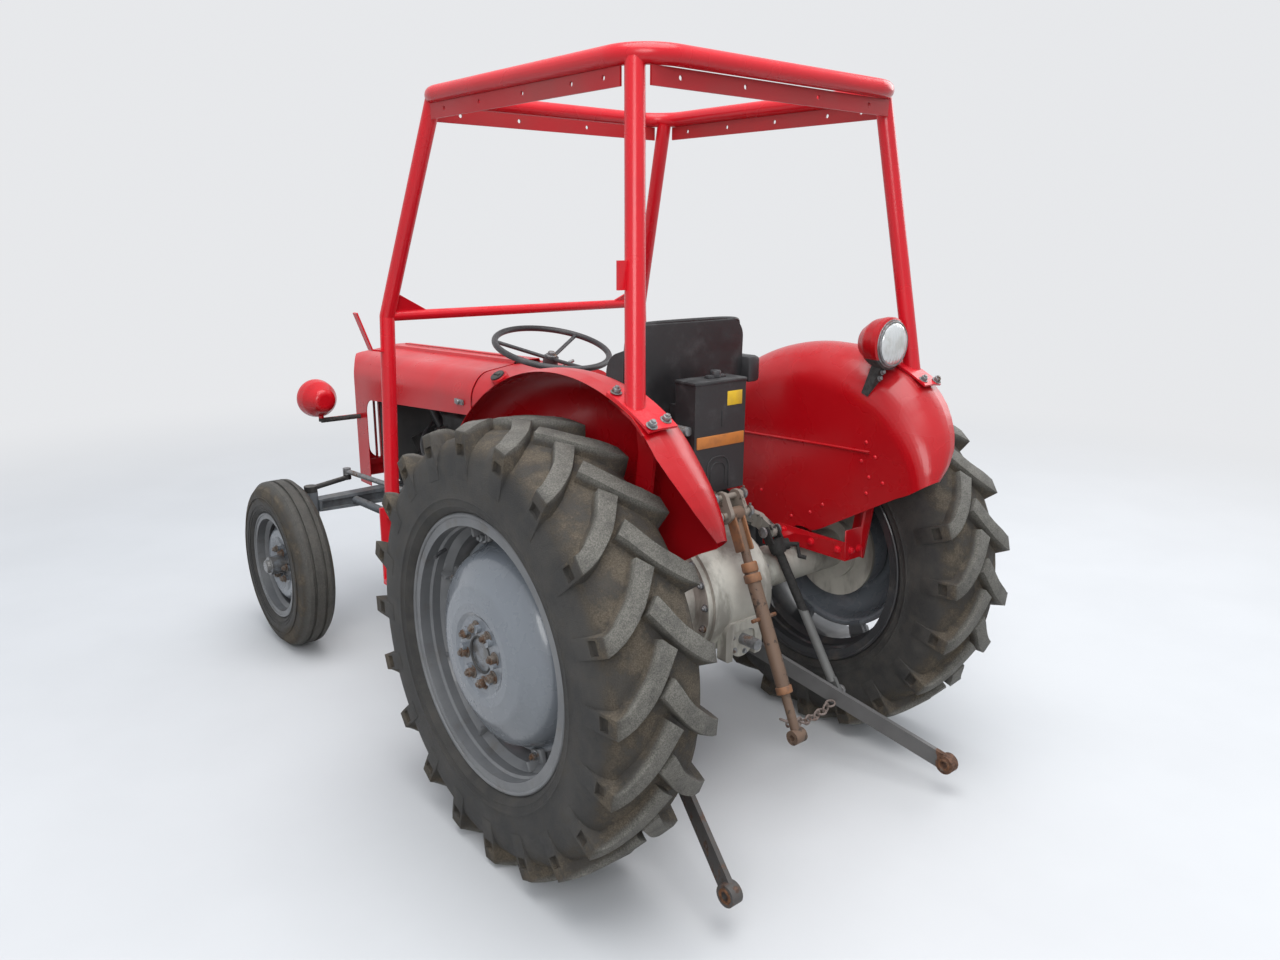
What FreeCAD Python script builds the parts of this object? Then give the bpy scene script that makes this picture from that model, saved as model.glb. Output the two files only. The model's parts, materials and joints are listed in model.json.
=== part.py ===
import FreeCAD, Part
import math
import os

import Sketcher

# Farm tractor with a four-post safety frame.
# Millimetres. The tractor faces -Y, its left side is +X, and it stands on Z = 0.
# Every place below is measured from the ground under the middle of the rear axle,
# and each finished piece is then moved back by half the difference of the overhangs,
# so that the whole machine is centred on the origin.

# Driving sizes: alias, value
SIZES = (
    # main places
    ("wheelbase", 1830), ("axle_high", 620), ("front_hub_high", 352),
    ("rear_track_half", 660), ("front_track_half", 655), ("wall", 3), ("seat_gap", 0.3), ("fit_gap", 0.05),
    # rear tyre
    ("tyre_half", 157.5), ("tyre_carcass", 590), ("lug_tip", 620), ("tyre_bore", 356), ("lug_count", 20),
    # rear wheel
    ("rim_half", 135), ("rim_flange", 381), ("rim_wall", 7), ("rim_well", 334),
    ("dish_flange_from", 25), ("dish_flange_radius", 300), ("dish_foot", 286), ("dish_crown_out", 147),
    ("dish_face_out", 140), ("dish_wall", 8), ("dish_pilot", 48), ("rim_lug_count", 8),
    ("stud_circle", 76.2), ("stud_radius", 11), ("stud_high", 14), ("stud_count", 8),
    ("drum_radius", 168), ("drum_in", 22), ("drum_out", 108), ("half_shaft", 28), ("half_shaft_reach", 60),
    # front tyre and wheel
    ("front_tyre_radius", 352), ("front_tyre_half", 80), ("front_bore", 203), ("front_rim_half", 62),
    ("front_flange", 222), ("front_rim_wall", 5), ("front_well", 186), ("rib_depth", 8),
    ("front_disc_out", 26), ("front_hub_radius", 44), ("front_hub_out", 84), ("front_hub_in", 46),
    ("front_cap_radius", 30), ("front_cap_out", 97),
    # kingpins and steering
    ("kingpin_across", 535), ("kingpin_radius", 17), ("kingpin_low", 322), ("kingpin_top", 662),
    ("stub_radius", 18), ("stub_reach", 70), ("ball_across", 350), ("ball_ahead", 48), ("ball_high", 669),
    ("steer_arm_radius", 11), ("link_eye", 17), ("drag_rod_radius", 11), ("drag_rear_across", 244),
    ("drop_shaft_y", -865), ("drop_shaft_high", 884), ("drop_arm_long", 192), ("drop_arm_thick", 12),
    # front axle and its support
    ("beam_high", 580), ("beam_tall", 70), ("beam_deep", 60), ("bush_radius", 28), ("bush_low", 396),
    ("bush_top", 640), ("pivot_radius", 20), ("support_half", 105), ("support_ahead", 120),
    ("support_low", 640), ("support_top", 700), ("radius_rod_across", 350), ("radius_rod_rear_across", 128),
    ("radius_rod_rear_y", -940), ("radius_rod_rear_high", 470),
    # engine, gearbox and rear housing
    ("engine_behind", 270), ("engine_rear", -905), ("block_half", 105), ("sump_low", 415), ("block_low", 520),
    ("block_top", 815), ("head_top", 905), ("cover_top", 985), ("fan_high", 880), ("fan_reach", 155), ("gearbox_rear", -330), ("gearbox_half", 120),
    ("gearbox_low", 425), ("gearbox_top", 775), ("drum_house_radius", 200), ("drum_house_half", 118),
    ("trumpet_flange", 188), ("trumpet_thick", 18), ("trumpet_tube", 70), ("trumpet_neck", 130), ("trumpet_taper_end", 240),
    ("backing_radius", 180), ("backing_thick", 12), ("backing_gap", 8),
    # lift and hitch
    ("lift_shaft_y", -190), ("lift_shaft_high", 872), ("lift_cover_top", 905), ("lift_shaft_radius", 24),
    ("lift_arm_across", 150), ("lift_arm_end_y", 42), ("lift_arm_end_high", 763),
    ("rod_across_top", 282), ("rod_bottom_across", 374), ("rod_bottom_y", 281), ("rod_bottom_high", 246), ("rod_radius", 15),
    ("link_pin_across", 195), ("link_pin_y", -130), ("link_pin_high", 410), ("link_end_across", 482),
    ("link_end_y", 639), ("link_end_high", 104), ("link_eye_radius", 30), ("link_bore", 11.2),
    ("link_eye_long", 35), ("link_tall", 56), ("link_thick", 14),
    ("top_pin_y", 150), ("top_pin_high", 898), ("top_end_y", 431), ("top_end_high", 281),
    ("top_bore", 9.65), ("top_eye_long", 44), ("top_eye_radius", 22), ("top_tube_radius", 21),
    ("top_screw_radius", 14), ("pto_high", 512), ("pto_radius", 17.5), ("pto_out", 120), ("pto_face_y", 198),
    # radiator, tank and dash
    ("radiator_behind", 10), ("radiator_deep", 80), ("radiator_half", 205), ("radiator_top", 1060),
    ("tank_behind", 380), ("tank_rear", -1010), ("tank_half", 190), ("tank_low", 1070), ("tank_top", 1175),
    ("dash_front", -950), ("dash_rear", -700), ("dash_low", 1040), ("dash_half", 247), ("dash_top", 1238),
    # bonnet
    ("hood_ahead", 278), ("hood_rear", -957), ("hood_half", 250), ("hood_low_rear", 1062),
    ("hood_low_front", 1000), ("crease_rear", 1149), ("crease_front", 1101), ("hood_top_rear", 1240),
    ("hood_top_front", 1200), ("hood_foot", 610), ("hood_foot_back", 45), ("cowl_ahead", 42),
    ("crease_round", 100), ("shoulder_round", 80),
    ("spine_half", 55), ("spine_high", 12), ("grille_half", 150), ("grille_low", 690), ("grille_top", 1085),
    ("bonnet_hinge_ahead", 170), ("bonnet_hinge_high", 655), ("hinge_radius", 10),
    # lamps
    ("headlamp_across", 420), ("headlamp_ahead", 134), ("headlamp_high", 1010), ("headlamp_radius", 82),
    ("headlamp_deep", 120), ("work_lamp_across", 440), ("work_lamp_y", 323), ("work_lamp_high", 1395),
    ("work_lamp_radius", 79), ("work_lamp_deep", 105),
    # steering wheel
    ("wheel_hub_y", -790), ("wheel_hub_high", 1312), ("wheel_tilt", 15), ("hand_rim", 208),
    ("hand_rim_thick", 11), ("column_radius", 22), ("shaft_radius", 10),
    # driver's place
    ("fender_in", 403), ("fender_out", 592), ("fender_back", 73), ("fender_up", 53),
    ("fender_crown", 698), ("fender_lip", 692), ("fender_corner", 135), ("fender_from", 35), ("fender_to", 158),
    ("fender_sheet", 3), ("rail_rear", 262), ("rail_tall", 62),
    ("plate_high", 520), ("plate_front", -930), ("plate_rear", -420), ("plate_in", 150), ("plate_out", 385),
    ("seat_box_half", 105), ("seat_box_front", -8), ("seat_box_rear", 78), ("seat_box_low", 955),
    ("seat_box_top", 1292), ("seat_low", 1000), ("seat_half", 235), ("seat_back_y", -75),
    ("seat_back_top", 1455), ("seat_front_y", -500),
    # safety frame
    ("post_radius", 25), ("roof_half", 492), ("roof_front", -774), ("roof_rear", 288), ("roof_high", 2115),
    ("roof_corner", 112), ("rear_foot_across", 563), ("rear_foot_y", 356), ("rear_foot_high", 1302),
    ("bend_across", 554), ("bend_y", -959), ("bend_high", 1438), ("front_foot_across", 578),
    ("front_foot_high", 739), ("strap_low", 500), ("crossbar_radius", 17), ("strip_tall", 45), ("strip_thick", 6),
    # exhaust
    ("exhaust_radius", 22), ("exhaust_high", 440),
)

DOC = FreeCAD.newDocument("farm_tractor")


class Size:
    """A number together with the sheet formula that gives it."""

    def __init__(self, value, formula=None):
        self.value = float(value)
        self.formula = formula or repr(float(value))

    def __float__(self):
        return self.value

    def __add__(self, other):
        other = as_size(other)
        return Size(self.value + other.value, f"({self.formula} + {other.formula})")

    def __neg__(self):
        return Size(-self.value, f"(-1 * {self.formula})")

    def __sub__(self, other):
        return self + -as_size(other)

    def __rsub__(self, other):
        return as_size(other) + -self

    def __mul__(self, other):
        other = as_size(other)
        return Size(self.value * other.value, f"({self.formula} * {other.formula})")

    def __truediv__(self, other):
        other = as_size(other)
        return Size(self.value / other.value, f"({self.formula} / {other.formula})")

    __radd__ = __add__
    __rmul__ = __mul__


def as_size(value):
    return value if isinstance(value, Size) else Size(value)


def make_sheet():
    """Write the driving sizes to a sheet and return them as named sizes."""
    sheet = DOC.addObject("Spreadsheet::Sheet", "sizes")
    named = type("Sizes", (), {})()
    for row, (alias, value) in enumerate(SIZES, 1):
        sheet.set(f"A{row}", alias.replace("_", " "))
        sheet.set(f"B{row}", str(value))
        sheet.setAlias(f"B{row}", alias)
        setattr(named, alias, Size(value, f"sizes.{alias}"))
    DOC.recompute()
    return named


at = make_sheet()
# Places that go with the front axle
at.support_front = -at.wheelbase - at.support_ahead
at.engine_front = at.engine_behind - at.wheelbase
at.radiator_front = at.radiator_behind - at.wheelbase
at.radiator_rear = at.radiator_front + at.radiator_deep
at.tank_front = at.tank_behind - at.wheelbase
at.hood_front = -at.wheelbase - at.hood_ahead
at.cowl_rear = -at.wheelbase - at.cowl_ahead
at.bonnet_hinge_y = -at.wheelbase - at.bonnet_hinge_ahead
at.headlamp_y = -at.wheelbase - at.headlamp_ahead

AXLE_BACK = (at.wheelbase + at.front_tyre_radius - at.link_end_y - at.link_eye_radius) / 2
NODES = []


# Helpers: binding, places and booleans

def bind(thing, **sizes):
    """Tie properties to sheet formulas; a double underscore stands for a dot."""
    for prop, size in sizes.items():
        thing.setExpression(prop.replace("__", "."), as_size(size).formula)
    return thing


def move(thing, x=0, y=0, z=0):
    return bind(thing, Placement__Base__x=x, Placement__Base__y=y, Placement__Base__z=z)


def vector(x, y, z):
    return FreeCAD.Vector(float(x), float(y), float(z))


def node(label, thing, x=0, y=0, z=0):
    """Name a finished sub-part and put it in the machine's own frame."""
    thing.Label = label
    move(thing, x, y + AXLE_BACK, z)
    NODES.append(thing)
    return thing


def mirror_node(label, source):
    """The same sub-part on the other side of the machine."""
    twin = DOC.addObject("Part::Mirroring", label)
    twin.Label = label
    twin.Source = source
    twin.Normal = (1, 0, 0)
    NODES.append(twin)
    return twin


def fuse(name, *things, refine=True):
    joined = DOC.addObject("Part::MultiFuse", name)
    joined.Shapes = list(things)
    joined.Refine = refine
    return joined


def cut(name, base, tool):
    rest = DOC.addObject("Part::Cut", name)
    rest.Base = base
    rest.Tool = tool
    return rest


def group(name, *things):
    several = DOC.addObject("Part::Compound", name)
    several.Links = list(things)
    return several


def mirrored(name, thing):
    twin = DOC.addObject("Part::Mirroring", name)
    twin.Source = thing
    twin.Normal = (1, 0, 0)
    return twin


def both_sides(name, thing):
    return group(name, thing, mirrored(name + "_other", thing))


# Helpers: primitives

def block(name, x, y, z):
    """A box between (low, high) pairs."""
    box = DOC.addObject("Part::Box", name)
    bind(box, Length=as_size(x[1]) - x[0], Width=as_size(y[1]) - y[0], Height=as_size(z[1]) - z[0])
    return move(box, x[0], y[0], z[0])


def rod(name, axis, radius, along, across):
    """A round bar along an axis, from along[0] to along[1], at the two other places."""
    bar = DOC.addObject("Part::Cylinder", name)
    bind(bar, Radius=radius, Height=as_size(along[1]) - along[0])
    if axis == "X":
        bar.Placement = FreeCAD.Placement(vector(0, 0, 0), FreeCAD.Rotation(vector(0, 1, 0), 90))
        return move(bar, along[0], across[0], across[1])
    if axis == "Y":
        bar.Placement = FreeCAD.Placement(vector(0, 0, 0), FreeCAD.Rotation(vector(1, 0, 0), -90))
        return move(bar, across[0], along[0], across[1])
    return move(bar, across[0], across[1], along[0])


def strut(name, radius, start, end):
    """A round bar between two places."""
    run = vector(*end) - vector(*start)
    bar = DOC.addObject("Part::Cylinder", name)
    bind(bar, Radius=radius)
    bar.Height = run.Length
    bar.Placement = FreeCAD.Placement(vector(*start), FreeCAD.Rotation(vector(0, 0, 1), run))
    return bar


def ball(name, radius, place):
    sphere = DOC.addObject("Part::Sphere", name)
    bind(sphere, Radius=radius)
    return move(sphere, *place)


# Helpers: sketched bodies

def draw_outline(sketch, corners):
    """Close an outline through corners (across, up[, radius]) measured from the sketch's origin."""
    count = len(corners)
    spots = [vector(corner[0], corner[1], 0) for corner in corners]
    entries, exits, middles = [], [], []
    for i, corner in enumerate(corners):
        here = spots[i]
        if len(corner) < 3:
            entries.append(here)
            exits.append(here)
            middles.append(None)
            continue
        back = (spots[i - 1] - here).normalize()
        ahead = (spots[(i + 1) % count] - here).normalize()
        half = back.getAngle(ahead) / 2
        reach = float(corner[2]) / math.tan(half)
        entries.append(here + back * reach)
        exits.append(here + ahead * reach)
        middle = here + (back + ahead).normalize() * (float(corner[2]) / math.sin(half))
        middles.append((middle, back.cross(ahead).z < 0))
    lines = [sketch.addGeometry(Part.LineSegment(exits[i], entries[(i + 1) % count]), False)
             for i in range(count)]
    for i, corner in enumerate(corners):
        before, after = lines[i - 1], lines[i]
        if middles[i] is None:
            sketch.addConstraint(Sketcher.Constraint("Coincident", before, 2, after, 1))
            anchor = (after, 1)
        else:
            anchor = (round_corner(sketch, corner, spots[i], middles[i], entries[i], exits[i], before, after), 1)
        for kind, distance in (("DistanceX", corner[0]), ("DistanceY", corner[1])):
            index = sketch.addConstraint(Sketcher.Constraint(kind, -1, 1, *anchor, float(distance)))
            if isinstance(distance, Size):
                sketch.setExpression(f"Constraints[{index}]", distance.formula)


def round_corner(sketch, corner, spot, middle, entry, leave, before, after):
    """Add the arc of one rounded corner and return the point that marks the sharp corner."""
    centre, turns_left = middle
    radius = float(corner[2])
    first, last = (entry, leave) if turns_left else (leave, entry)
    start = math.atan2(first.y - centre.y, first.x - centre.x)
    end = math.atan2(last.y - centre.y, last.x - centre.x)
    circle = Part.Circle(centre, FreeCAD.Vector(0, 0, 1), radius)
    arc = sketch.addGeometry(Part.ArcOfCircle(circle, start, end), False)
    into, out = (1, 2) if turns_left else (2, 1)
    sketch.addConstraint(Sketcher.Constraint("Tangent", before, 2, arc, into))
    sketch.addConstraint(Sketcher.Constraint("Tangent", arc, out, after, 1))
    point = sketch.addGeometry(Part.Point(spot), True)
    sketch.addConstraint(Sketcher.Constraint("PointOnObject", point, 1, before))
    sketch.addConstraint(Sketcher.Constraint("PointOnObject", point, 1, after))
    index = sketch.addConstraint(Sketcher.Constraint("Radius", arc, radius))
    sketch.setExpression(f"Constraints[{index}]", as_size(corner[2]).formula)
    return point


def sketch_on(body, role, corners, lift=0):
    """An outline on one of the body's own planes, lifted along its normal."""
    sketch = body.newObject("Sketcher::SketchObject", body.Name + "_outline")
    plane = next(part for part in body.Origin.OriginFeatures if part.Role == role)
    sketch.AttachmentSupport = (plane, [""])
    sketch.MapMode = "FlatFace"
    sketch.setExpression("AttachmentOffset.Base.z", as_size(lift).formula)
    draw_outline(sketch, corners)
    return sketch


def new_body(name):
    return DOC.addObject("PartDesign::Body", name)


def pad(name, across, corners, low, high):
    """A plate or prism: an outline drawn square to an axis, between two places along it."""
    body = new_body(name)
    role = {"X": "YZ_Plane", "Y": "XZ_Plane", "Z": "XY_Plane"}[across]
    lift = -as_size(low) if across == "Y" else as_size(low)
    sketch = sketch_on(body, role, corners, lift)
    feature = body.newObject("PartDesign::Pad", name + "_pad")
    feature.Profile = sketch
    feature.Reversed = across == "Y"
    bind(feature, Length=as_size(high) - low)
    return body


def pocket(body, across, corners, low, high):
    """Cut an outline out of a body between two places along an axis."""
    role = {"X": "YZ_Plane", "Y": "XZ_Plane", "Z": "XY_Plane"}[across]
    lift = -as_size(low) if across == "Y" else as_size(low)
    sketch = sketch_on(body, role, corners, lift)
    feature = body.newObject("PartDesign::Pocket", body.Name + "_pocket")
    feature.Profile = sketch
    feature.Reversed = across != "Y"
    bind(feature, Length=as_size(high) - low)
    return body


def turned(name, axis, corners, angle=360):
    """A turned piece: outline corners are (along the axis, radius[, rounding])."""
    body = new_body(name)
    if axis == "X":
        role, reference, flip = "XY_Plane", "H_Axis", False
    elif axis == "Y":
        role, reference, flip = "XY_Plane", "V_Axis", True
    else:
        role, reference, flip = "XZ_Plane", "V_Axis", True
    outline = [((c[1], c[0]) + tuple(c[2:])) if flip else c for c in corners]
    sketch = sketch_on(body, role, outline)
    feature = body.newObject("PartDesign::Revolution", name + "_turn")
    feature.Profile = sketch
    feature.ReferenceAxis = (sketch, [reference])
    bind(feature, Angle=angle)
    return body


def shaped(name, shape):
    """A form that neither sketches nor primitives give, made from the named sizes."""
    feature = DOC.addObject("Part::Feature", name)
    feature.Shape = shape
    return feature


def flat_bar(name, tall, thick, start, end, side):
    """A flat bar between two places, its thickness along side."""
    begin, run = vector(*start), vector(*end) - vector(*start)
    across = vector(*side)
    across = (across - run * (across.dot(run) / run.dot(run))).normalize()
    up = run.cross(across).normalize()
    half_tall, half_thick = up * (float(tall) / 2), across * (float(thick) / 2)
    ring = [begin + half_tall + half_thick, begin + half_tall - half_thick,
            begin - half_tall - half_thick, begin - half_tall + half_thick]
    face = Part.Face(Part.makePolygon(ring + ring[:1]))
    return shaped(name, face.extrude(run))


# Rear tyre, wheel and hub

# Places along one lug: share of the half width, lag in degrees, slant, half width, drop of the top, depth,
# inward step of the root
LUG_STATIONS = (
    (-0.06, 0.0, 19, 16.5, 0, 50, 0),
    (0.18, 5.0, 17, 14.5, 0, 50, 0),
    (0.58, 10.0, 13, 18, 0, 50, 0),
    (0.985, 14.5, 0, 23, 14, 50, 36),
    (1.005, 14.5, 0, 25, 138, 0, 28),
)


def lug_shape(side, turn):
    """One tread lug, lofted from the middle of the tread out over the shoulder."""
    wires = []
    for share, lag, slant, half_wide, drop, depth, inward in LUG_STATIONS:
        angle = math.radians(turn - lag)
        out = vector(0, math.cos(angle), math.sin(angle))
        along = vector(0, -math.sin(angle), math.cos(angle))
        middle = vector(side * share * float(at.tyre_half), 0, 0) + out * (float(at.lug_tip) - drop)
        edge = vector(side * slant, 0, 0) + along * half_wide
        foot = edge * (1 + 9 / edge.Length)
        root = vector(-side * inward, 0, 0) - out * depth
        ring = [middle + edge, middle - edge, middle - foot + root, middle + foot + root]
        wires.append(Part.makePolygon(ring + ring[:1]))
    return Part.makeLoft(wires, True, True)


def rear_tyre():
    half = at.tyre_half
    flange_in = at.rim_half - at.rim_wall
    right = [(flange_in, at.tyre_bore), (flange_in, at.rim_flange), (half - 6, at.rim_flange + 22),
             (half, at.rim_flange + 85, 60), (half - 8, at.tyre_carcass - 60, 50),
             (half - 62, at.tyre_carcass, 90)]
    left = [(-c[0],) + tuple(c[1:]) for c in reversed(right)]
    carcass = turned("rear_carcass", "X", right + left)
    pitch = 360 / float(at.lug_count)
    lugs = []
    for index in range(int(at.lug_count.value)):
        lugs.append(lug_shape(1, index * pitch))
        lugs.append(lug_shape(-1, (index + 0.5) * pitch))
    tread = shaped("rear_lugs", Part.makeCompound(lugs))
    return fuse("rear_tyre", carcass, tread, refine=False)


def rear_wheel():
    flat, half = at.rim_wall, at.rim_half
    well = at.rim_well
    outer = [(half, at.rim_flange), (half - flat, at.rim_flange), (half - flat, at.tyre_bore),
             (75, at.tyre_bore), (55, well)]
    inner = [(half, at.tyre_bore - flat), (104, at.tyre_bore - flat), (98, at.tyre_bore - flat - 6),
             (73, at.tyre_bore - flat - 6), (51, well - flat)]
    rim = turned("rear_rim", "X", outer + [(-c[0], c[1]) for c in reversed(outer)]
                 + [(-c[0], c[1]) for c in inner] + list(reversed(inner)))
    start, thick = at.dish_flange_from, at.dish_wall
    crown, face = at.dish_crown_out, at.dish_face_out
    dish = turned("rear_dish", "X", [
        (start + thick, at.dish_flange_radius), (start + thick, at.dish_foot, 8), (crown - 47, 262, 60),
        (crown - 8, 188, 40), (crown, 142, 14), (crown, 118, 4), (face, 106, 4), (face, at.dish_pilot),
        (face - thick, at.dish_pilot), (face - thick, 110, 3), (crown - thick, 122, 3),
        (crown - thick, 139, 8), (crown - 16, 184, 32), (crown - 54, 255, 52), (start, at.dish_foot - 9, 14),
        (start, at.dish_flange_radius)])
    hub = turned("rear_hub", "X", [
        (at.half_shaft_reach * -1, 0), (at.half_shaft_reach * -1, at.half_shaft), (at.drum_in, at.half_shaft),
        (at.drum_in, at.drum_radius), (at.drum_out, at.drum_radius, 10), (at.drum_out, 104),
        (face - thick, 104), (face - thick, at.dish_pilot), (face - 5, at.dish_pilot), (face - 5, 0)])
    studs = []
    for index in range(int(at.stud_count.value)):
        turn = math.radians(360 / float(at.stud_count) * index)
        studs.append(rod(f"rear_stud_{index}", "X", at.stud_radius, (face - 1, face + at.stud_high),
                         (at.stud_circle * math.cos(turn), at.stud_circle * math.sin(turn))))
    brackets = []
    for index in range(int(at.rim_lug_count.value)):
        turn = 360 / float(at.rim_lug_count) * (index + 0.5)
        bracket = pad(f"rim_lug_{index}", "X",
                      [(at.dish_flange_radius - 18, -24), (well - flat + 3, -34),
                       (well - flat + 3, 34), (at.dish_flange_radius - 18, 24)], start - 12, start)
        bracket.Placement = FreeCAD.Placement(vector(0, 0, 0), FreeCAD.Rotation(vector(1, 0, 0), turn))
        brackets.append(bracket)
    return fuse("rear_wheel", rim, dish, hub, *studs, *brackets)


# Front tyre and wheel

def front_tyre():
    half, radius, groove = at.front_tyre_half, at.front_tyre_radius, at.rib_depth
    bead = at.front_rim_half - at.front_rim_wall
    right = [(bead, at.front_bore), (bead, at.front_flange), (half - 6, at.front_flange + 16),
             (half, at.front_flange + 48, 34), (half - 12, radius - 26, 20), (50, radius - 8), (44, radius - 2),
             (28, radius), (26, radius - groove), (18, radius - groove), (16, radius)]
    left = [(-c[0],) + tuple(c[1:]) for c in reversed(right)]
    return turned("front_tyre", "X", right + left)


def front_wheel():
    half, flat, well = at.front_rim_half, at.front_rim_wall, at.front_well
    outer = [(half, at.front_flange), (half - flat, at.front_flange), (half - flat, at.front_bore),
             (32, at.front_bore), (20, well)]
    inner = [(half, at.front_bore - flat), (29, at.front_bore - flat), (17, well - flat)]
    rim = turned("front_rim", "X", outer + [(-c[0], c[1]) for c in reversed(outer)]
                 + [(-c[0], c[1]) for c in inner] + list(reversed(inner)))
    out, hub = at.front_disc_out, at.front_hub_radius
    disc = turned("front_disc", "X", [
        (-8, well - flat + 1), (4, 160, 12), (out, 138, 12), (out, 118, 6), (out - 12, 84, 6),
        (out - 12, hub - 8), (out - 6, hub - 8), (out - 6, 84, 6), (out + 6, 118, 6), (out + 6, 141, 16),
        (10, 164, 14), (-1, well - flat + 1)])
    boss = turned("front_boss", "X", [
        (at.front_hub_in * -1, at.stub_radius + at.fit_gap), (at.front_hub_in * -1, hub, 3),
        (at.front_hub_out, hub - 6, 5), (at.front_hub_out, at.front_cap_radius),
        (at.front_cap_out, at.front_cap_radius - 4, 6), (at.front_cap_out, 0),
        (at.stub_reach, 0), (at.stub_reach, at.stub_radius + at.fit_gap)])
    nuts = []
    for index in range(6):
        turn = math.radians(60 * index)
        nuts.append(rod(f"front_nut_{index}", "X", 10, (out - 8, out + 8), (66 * math.cos(turn), 66 * math.sin(turn))))
    return fuse("front_wheel", rim, disc, boss, *nuts)


# Knuckles, drag links and drop arms

def knuckle():
    across, along = at.kingpin_across, -at.wheelbase
    pin = rod("kingpin", "Z", at.kingpin_radius, (at.kingpin_low, at.kingpin_top), (across, along))
    foot = rod("knuckle_foot", "Z", 28, (at.kingpin_low, at.bush_low - at.seat_gap), (across, along))
    stub = rod("stub_axle", "X", at.stub_radius,
               (across, at.front_track_half + at.stub_reach - 2), (along, at.front_hub_high))
    collar = rod("stub_collar", "X", 30,
                 (across, at.front_track_half - at.front_hub_in - at.seat_gap), (along, at.front_hub_high))
    head = rod("arm_head", "Z", 27, (at.bush_top + at.seat_gap, at.kingpin_top + 4), (across, along))
    end = (at.ball_across, along - at.ball_ahead, at.ball_high - 4)
    arm = strut("steering_arm", at.steer_arm_radius, (across, along, at.kingpin_top - 8), end)
    eye = rod("steering_arm_eye", "Z", at.link_eye, (at.ball_high - 12, at.ball_high + 10),
              (at.ball_across, along - at.ball_ahead))
    return fuse("knuckle", pin, foot, stub, collar, head, arm, eye, refine=False)


def drag_link():
    high = at.ball_high + 24
    front = (at.ball_across, -at.wheelbase - at.ball_ahead, high)
    rear = (at.drag_rear_across, at.drop_shaft_y, at.drop_shaft_high - at.drop_arm_long)
    socket = rod("drag_front_socket", "Z", at.link_eye, (at.ball_high + 10 + at.seat_gap, high + 14), front[:2])
    tail = rod("drag_rear_socket", "X", at.link_eye, (at.drag_rear_across - 14, at.drag_rear_across + 16), rear[1:])
    tube = strut("drag_tube", at.drag_rod_radius, front, rear)
    return fuse("drag_link", socket, tail, tube)


def drop_arm():
    out = at.drag_rear_across - 14 - at.seat_gap
    low = at.drop_shaft_high - at.drop_arm_long
    shaft = rod("drop_shaft", "X", 14, (40, out), (at.drop_shaft_y, at.drop_shaft_high))
    plate = pad("drop_plate", "X", [
        (at.drop_shaft_y - 24, at.drop_shaft_high + 26, 18), (at.drop_shaft_y - 15, low - 18, 12),
        (at.drop_shaft_y + 15, low - 18, 12), (at.drop_shaft_y + 24, at.drop_shaft_high + 26, 18)],
        out - at.drop_arm_thick, out)
    return fuse("drop_arm", shaft, plate)


# Front axle, its support and the engine

def front_axle():
    along, high = -at.wheelbase, at.beam_high
    half_tall, half_deep = at.beam_tall / 2, at.beam_deep / 2
    tip = at.kingpin_across - 22
    beam = pad("axle_beam", "Y", [
        (-tip, high - half_tall + 10), (-tip, high + half_tall - 8), (-120, high + half_tall),
        (120, high + half_tall), (tip, high + half_tall - 8), (tip, high - half_tall + 10),
        (120, high - half_tall), (-120, high - half_tall)], along - half_deep, along + half_deep)
    for side in (-1, 1):
        for face in (-1, 1):
            near, far = sorted((150 * side, 500 * side))
            outline = [(near, high - half_tall + 18), (far, high - half_tall + 18),
                       (far, high + half_tall - 18), (near, high + half_tall - 18)]
            low = along - half_deep if face < 0 else along + half_deep - 18
            pocket(beam, "Y", outline, low, low + 18)
    tubes = []
    for side in (-1, 1):
        tube = rod(f"kingpin_tube_{side}", "Z", at.bush_radius, (at.bush_low, at.bush_top), (at.kingpin_across * side, along))
        tubes.append(tube)
        tubes.append(strut(f"radius_rod_{side}", 17, (at.radius_rod_across * side, along + half_deep - 6, high),
                           (at.radius_rod_rear_across * side, at.radius_rod_rear_y, at.radius_rod_rear_high)))
        tubes.append(ball(f"radius_rod_ball_{side}", 24, (at.radius_rod_rear_across * side,
                                                         at.radius_rod_rear_y, at.radius_rod_rear_high)))
    whole = fuse("axle_whole", beam, *tubes)
    bores = [rod(f"kingpin_bore_{side}", "Z", at.kingpin_radius + at.fit_gap, (at.bush_low - 5, at.bush_top + 5),
                 (at.kingpin_across * side, along)) for side in (-1, 1)]
    pivot = rod("pivot_bore", "Y", at.pivot_radius + at.fit_gap, (along - 60, along + 60), (0, high))
    return cut("front_axle", whole, group("axle_bores", pivot, *bores))


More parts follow.
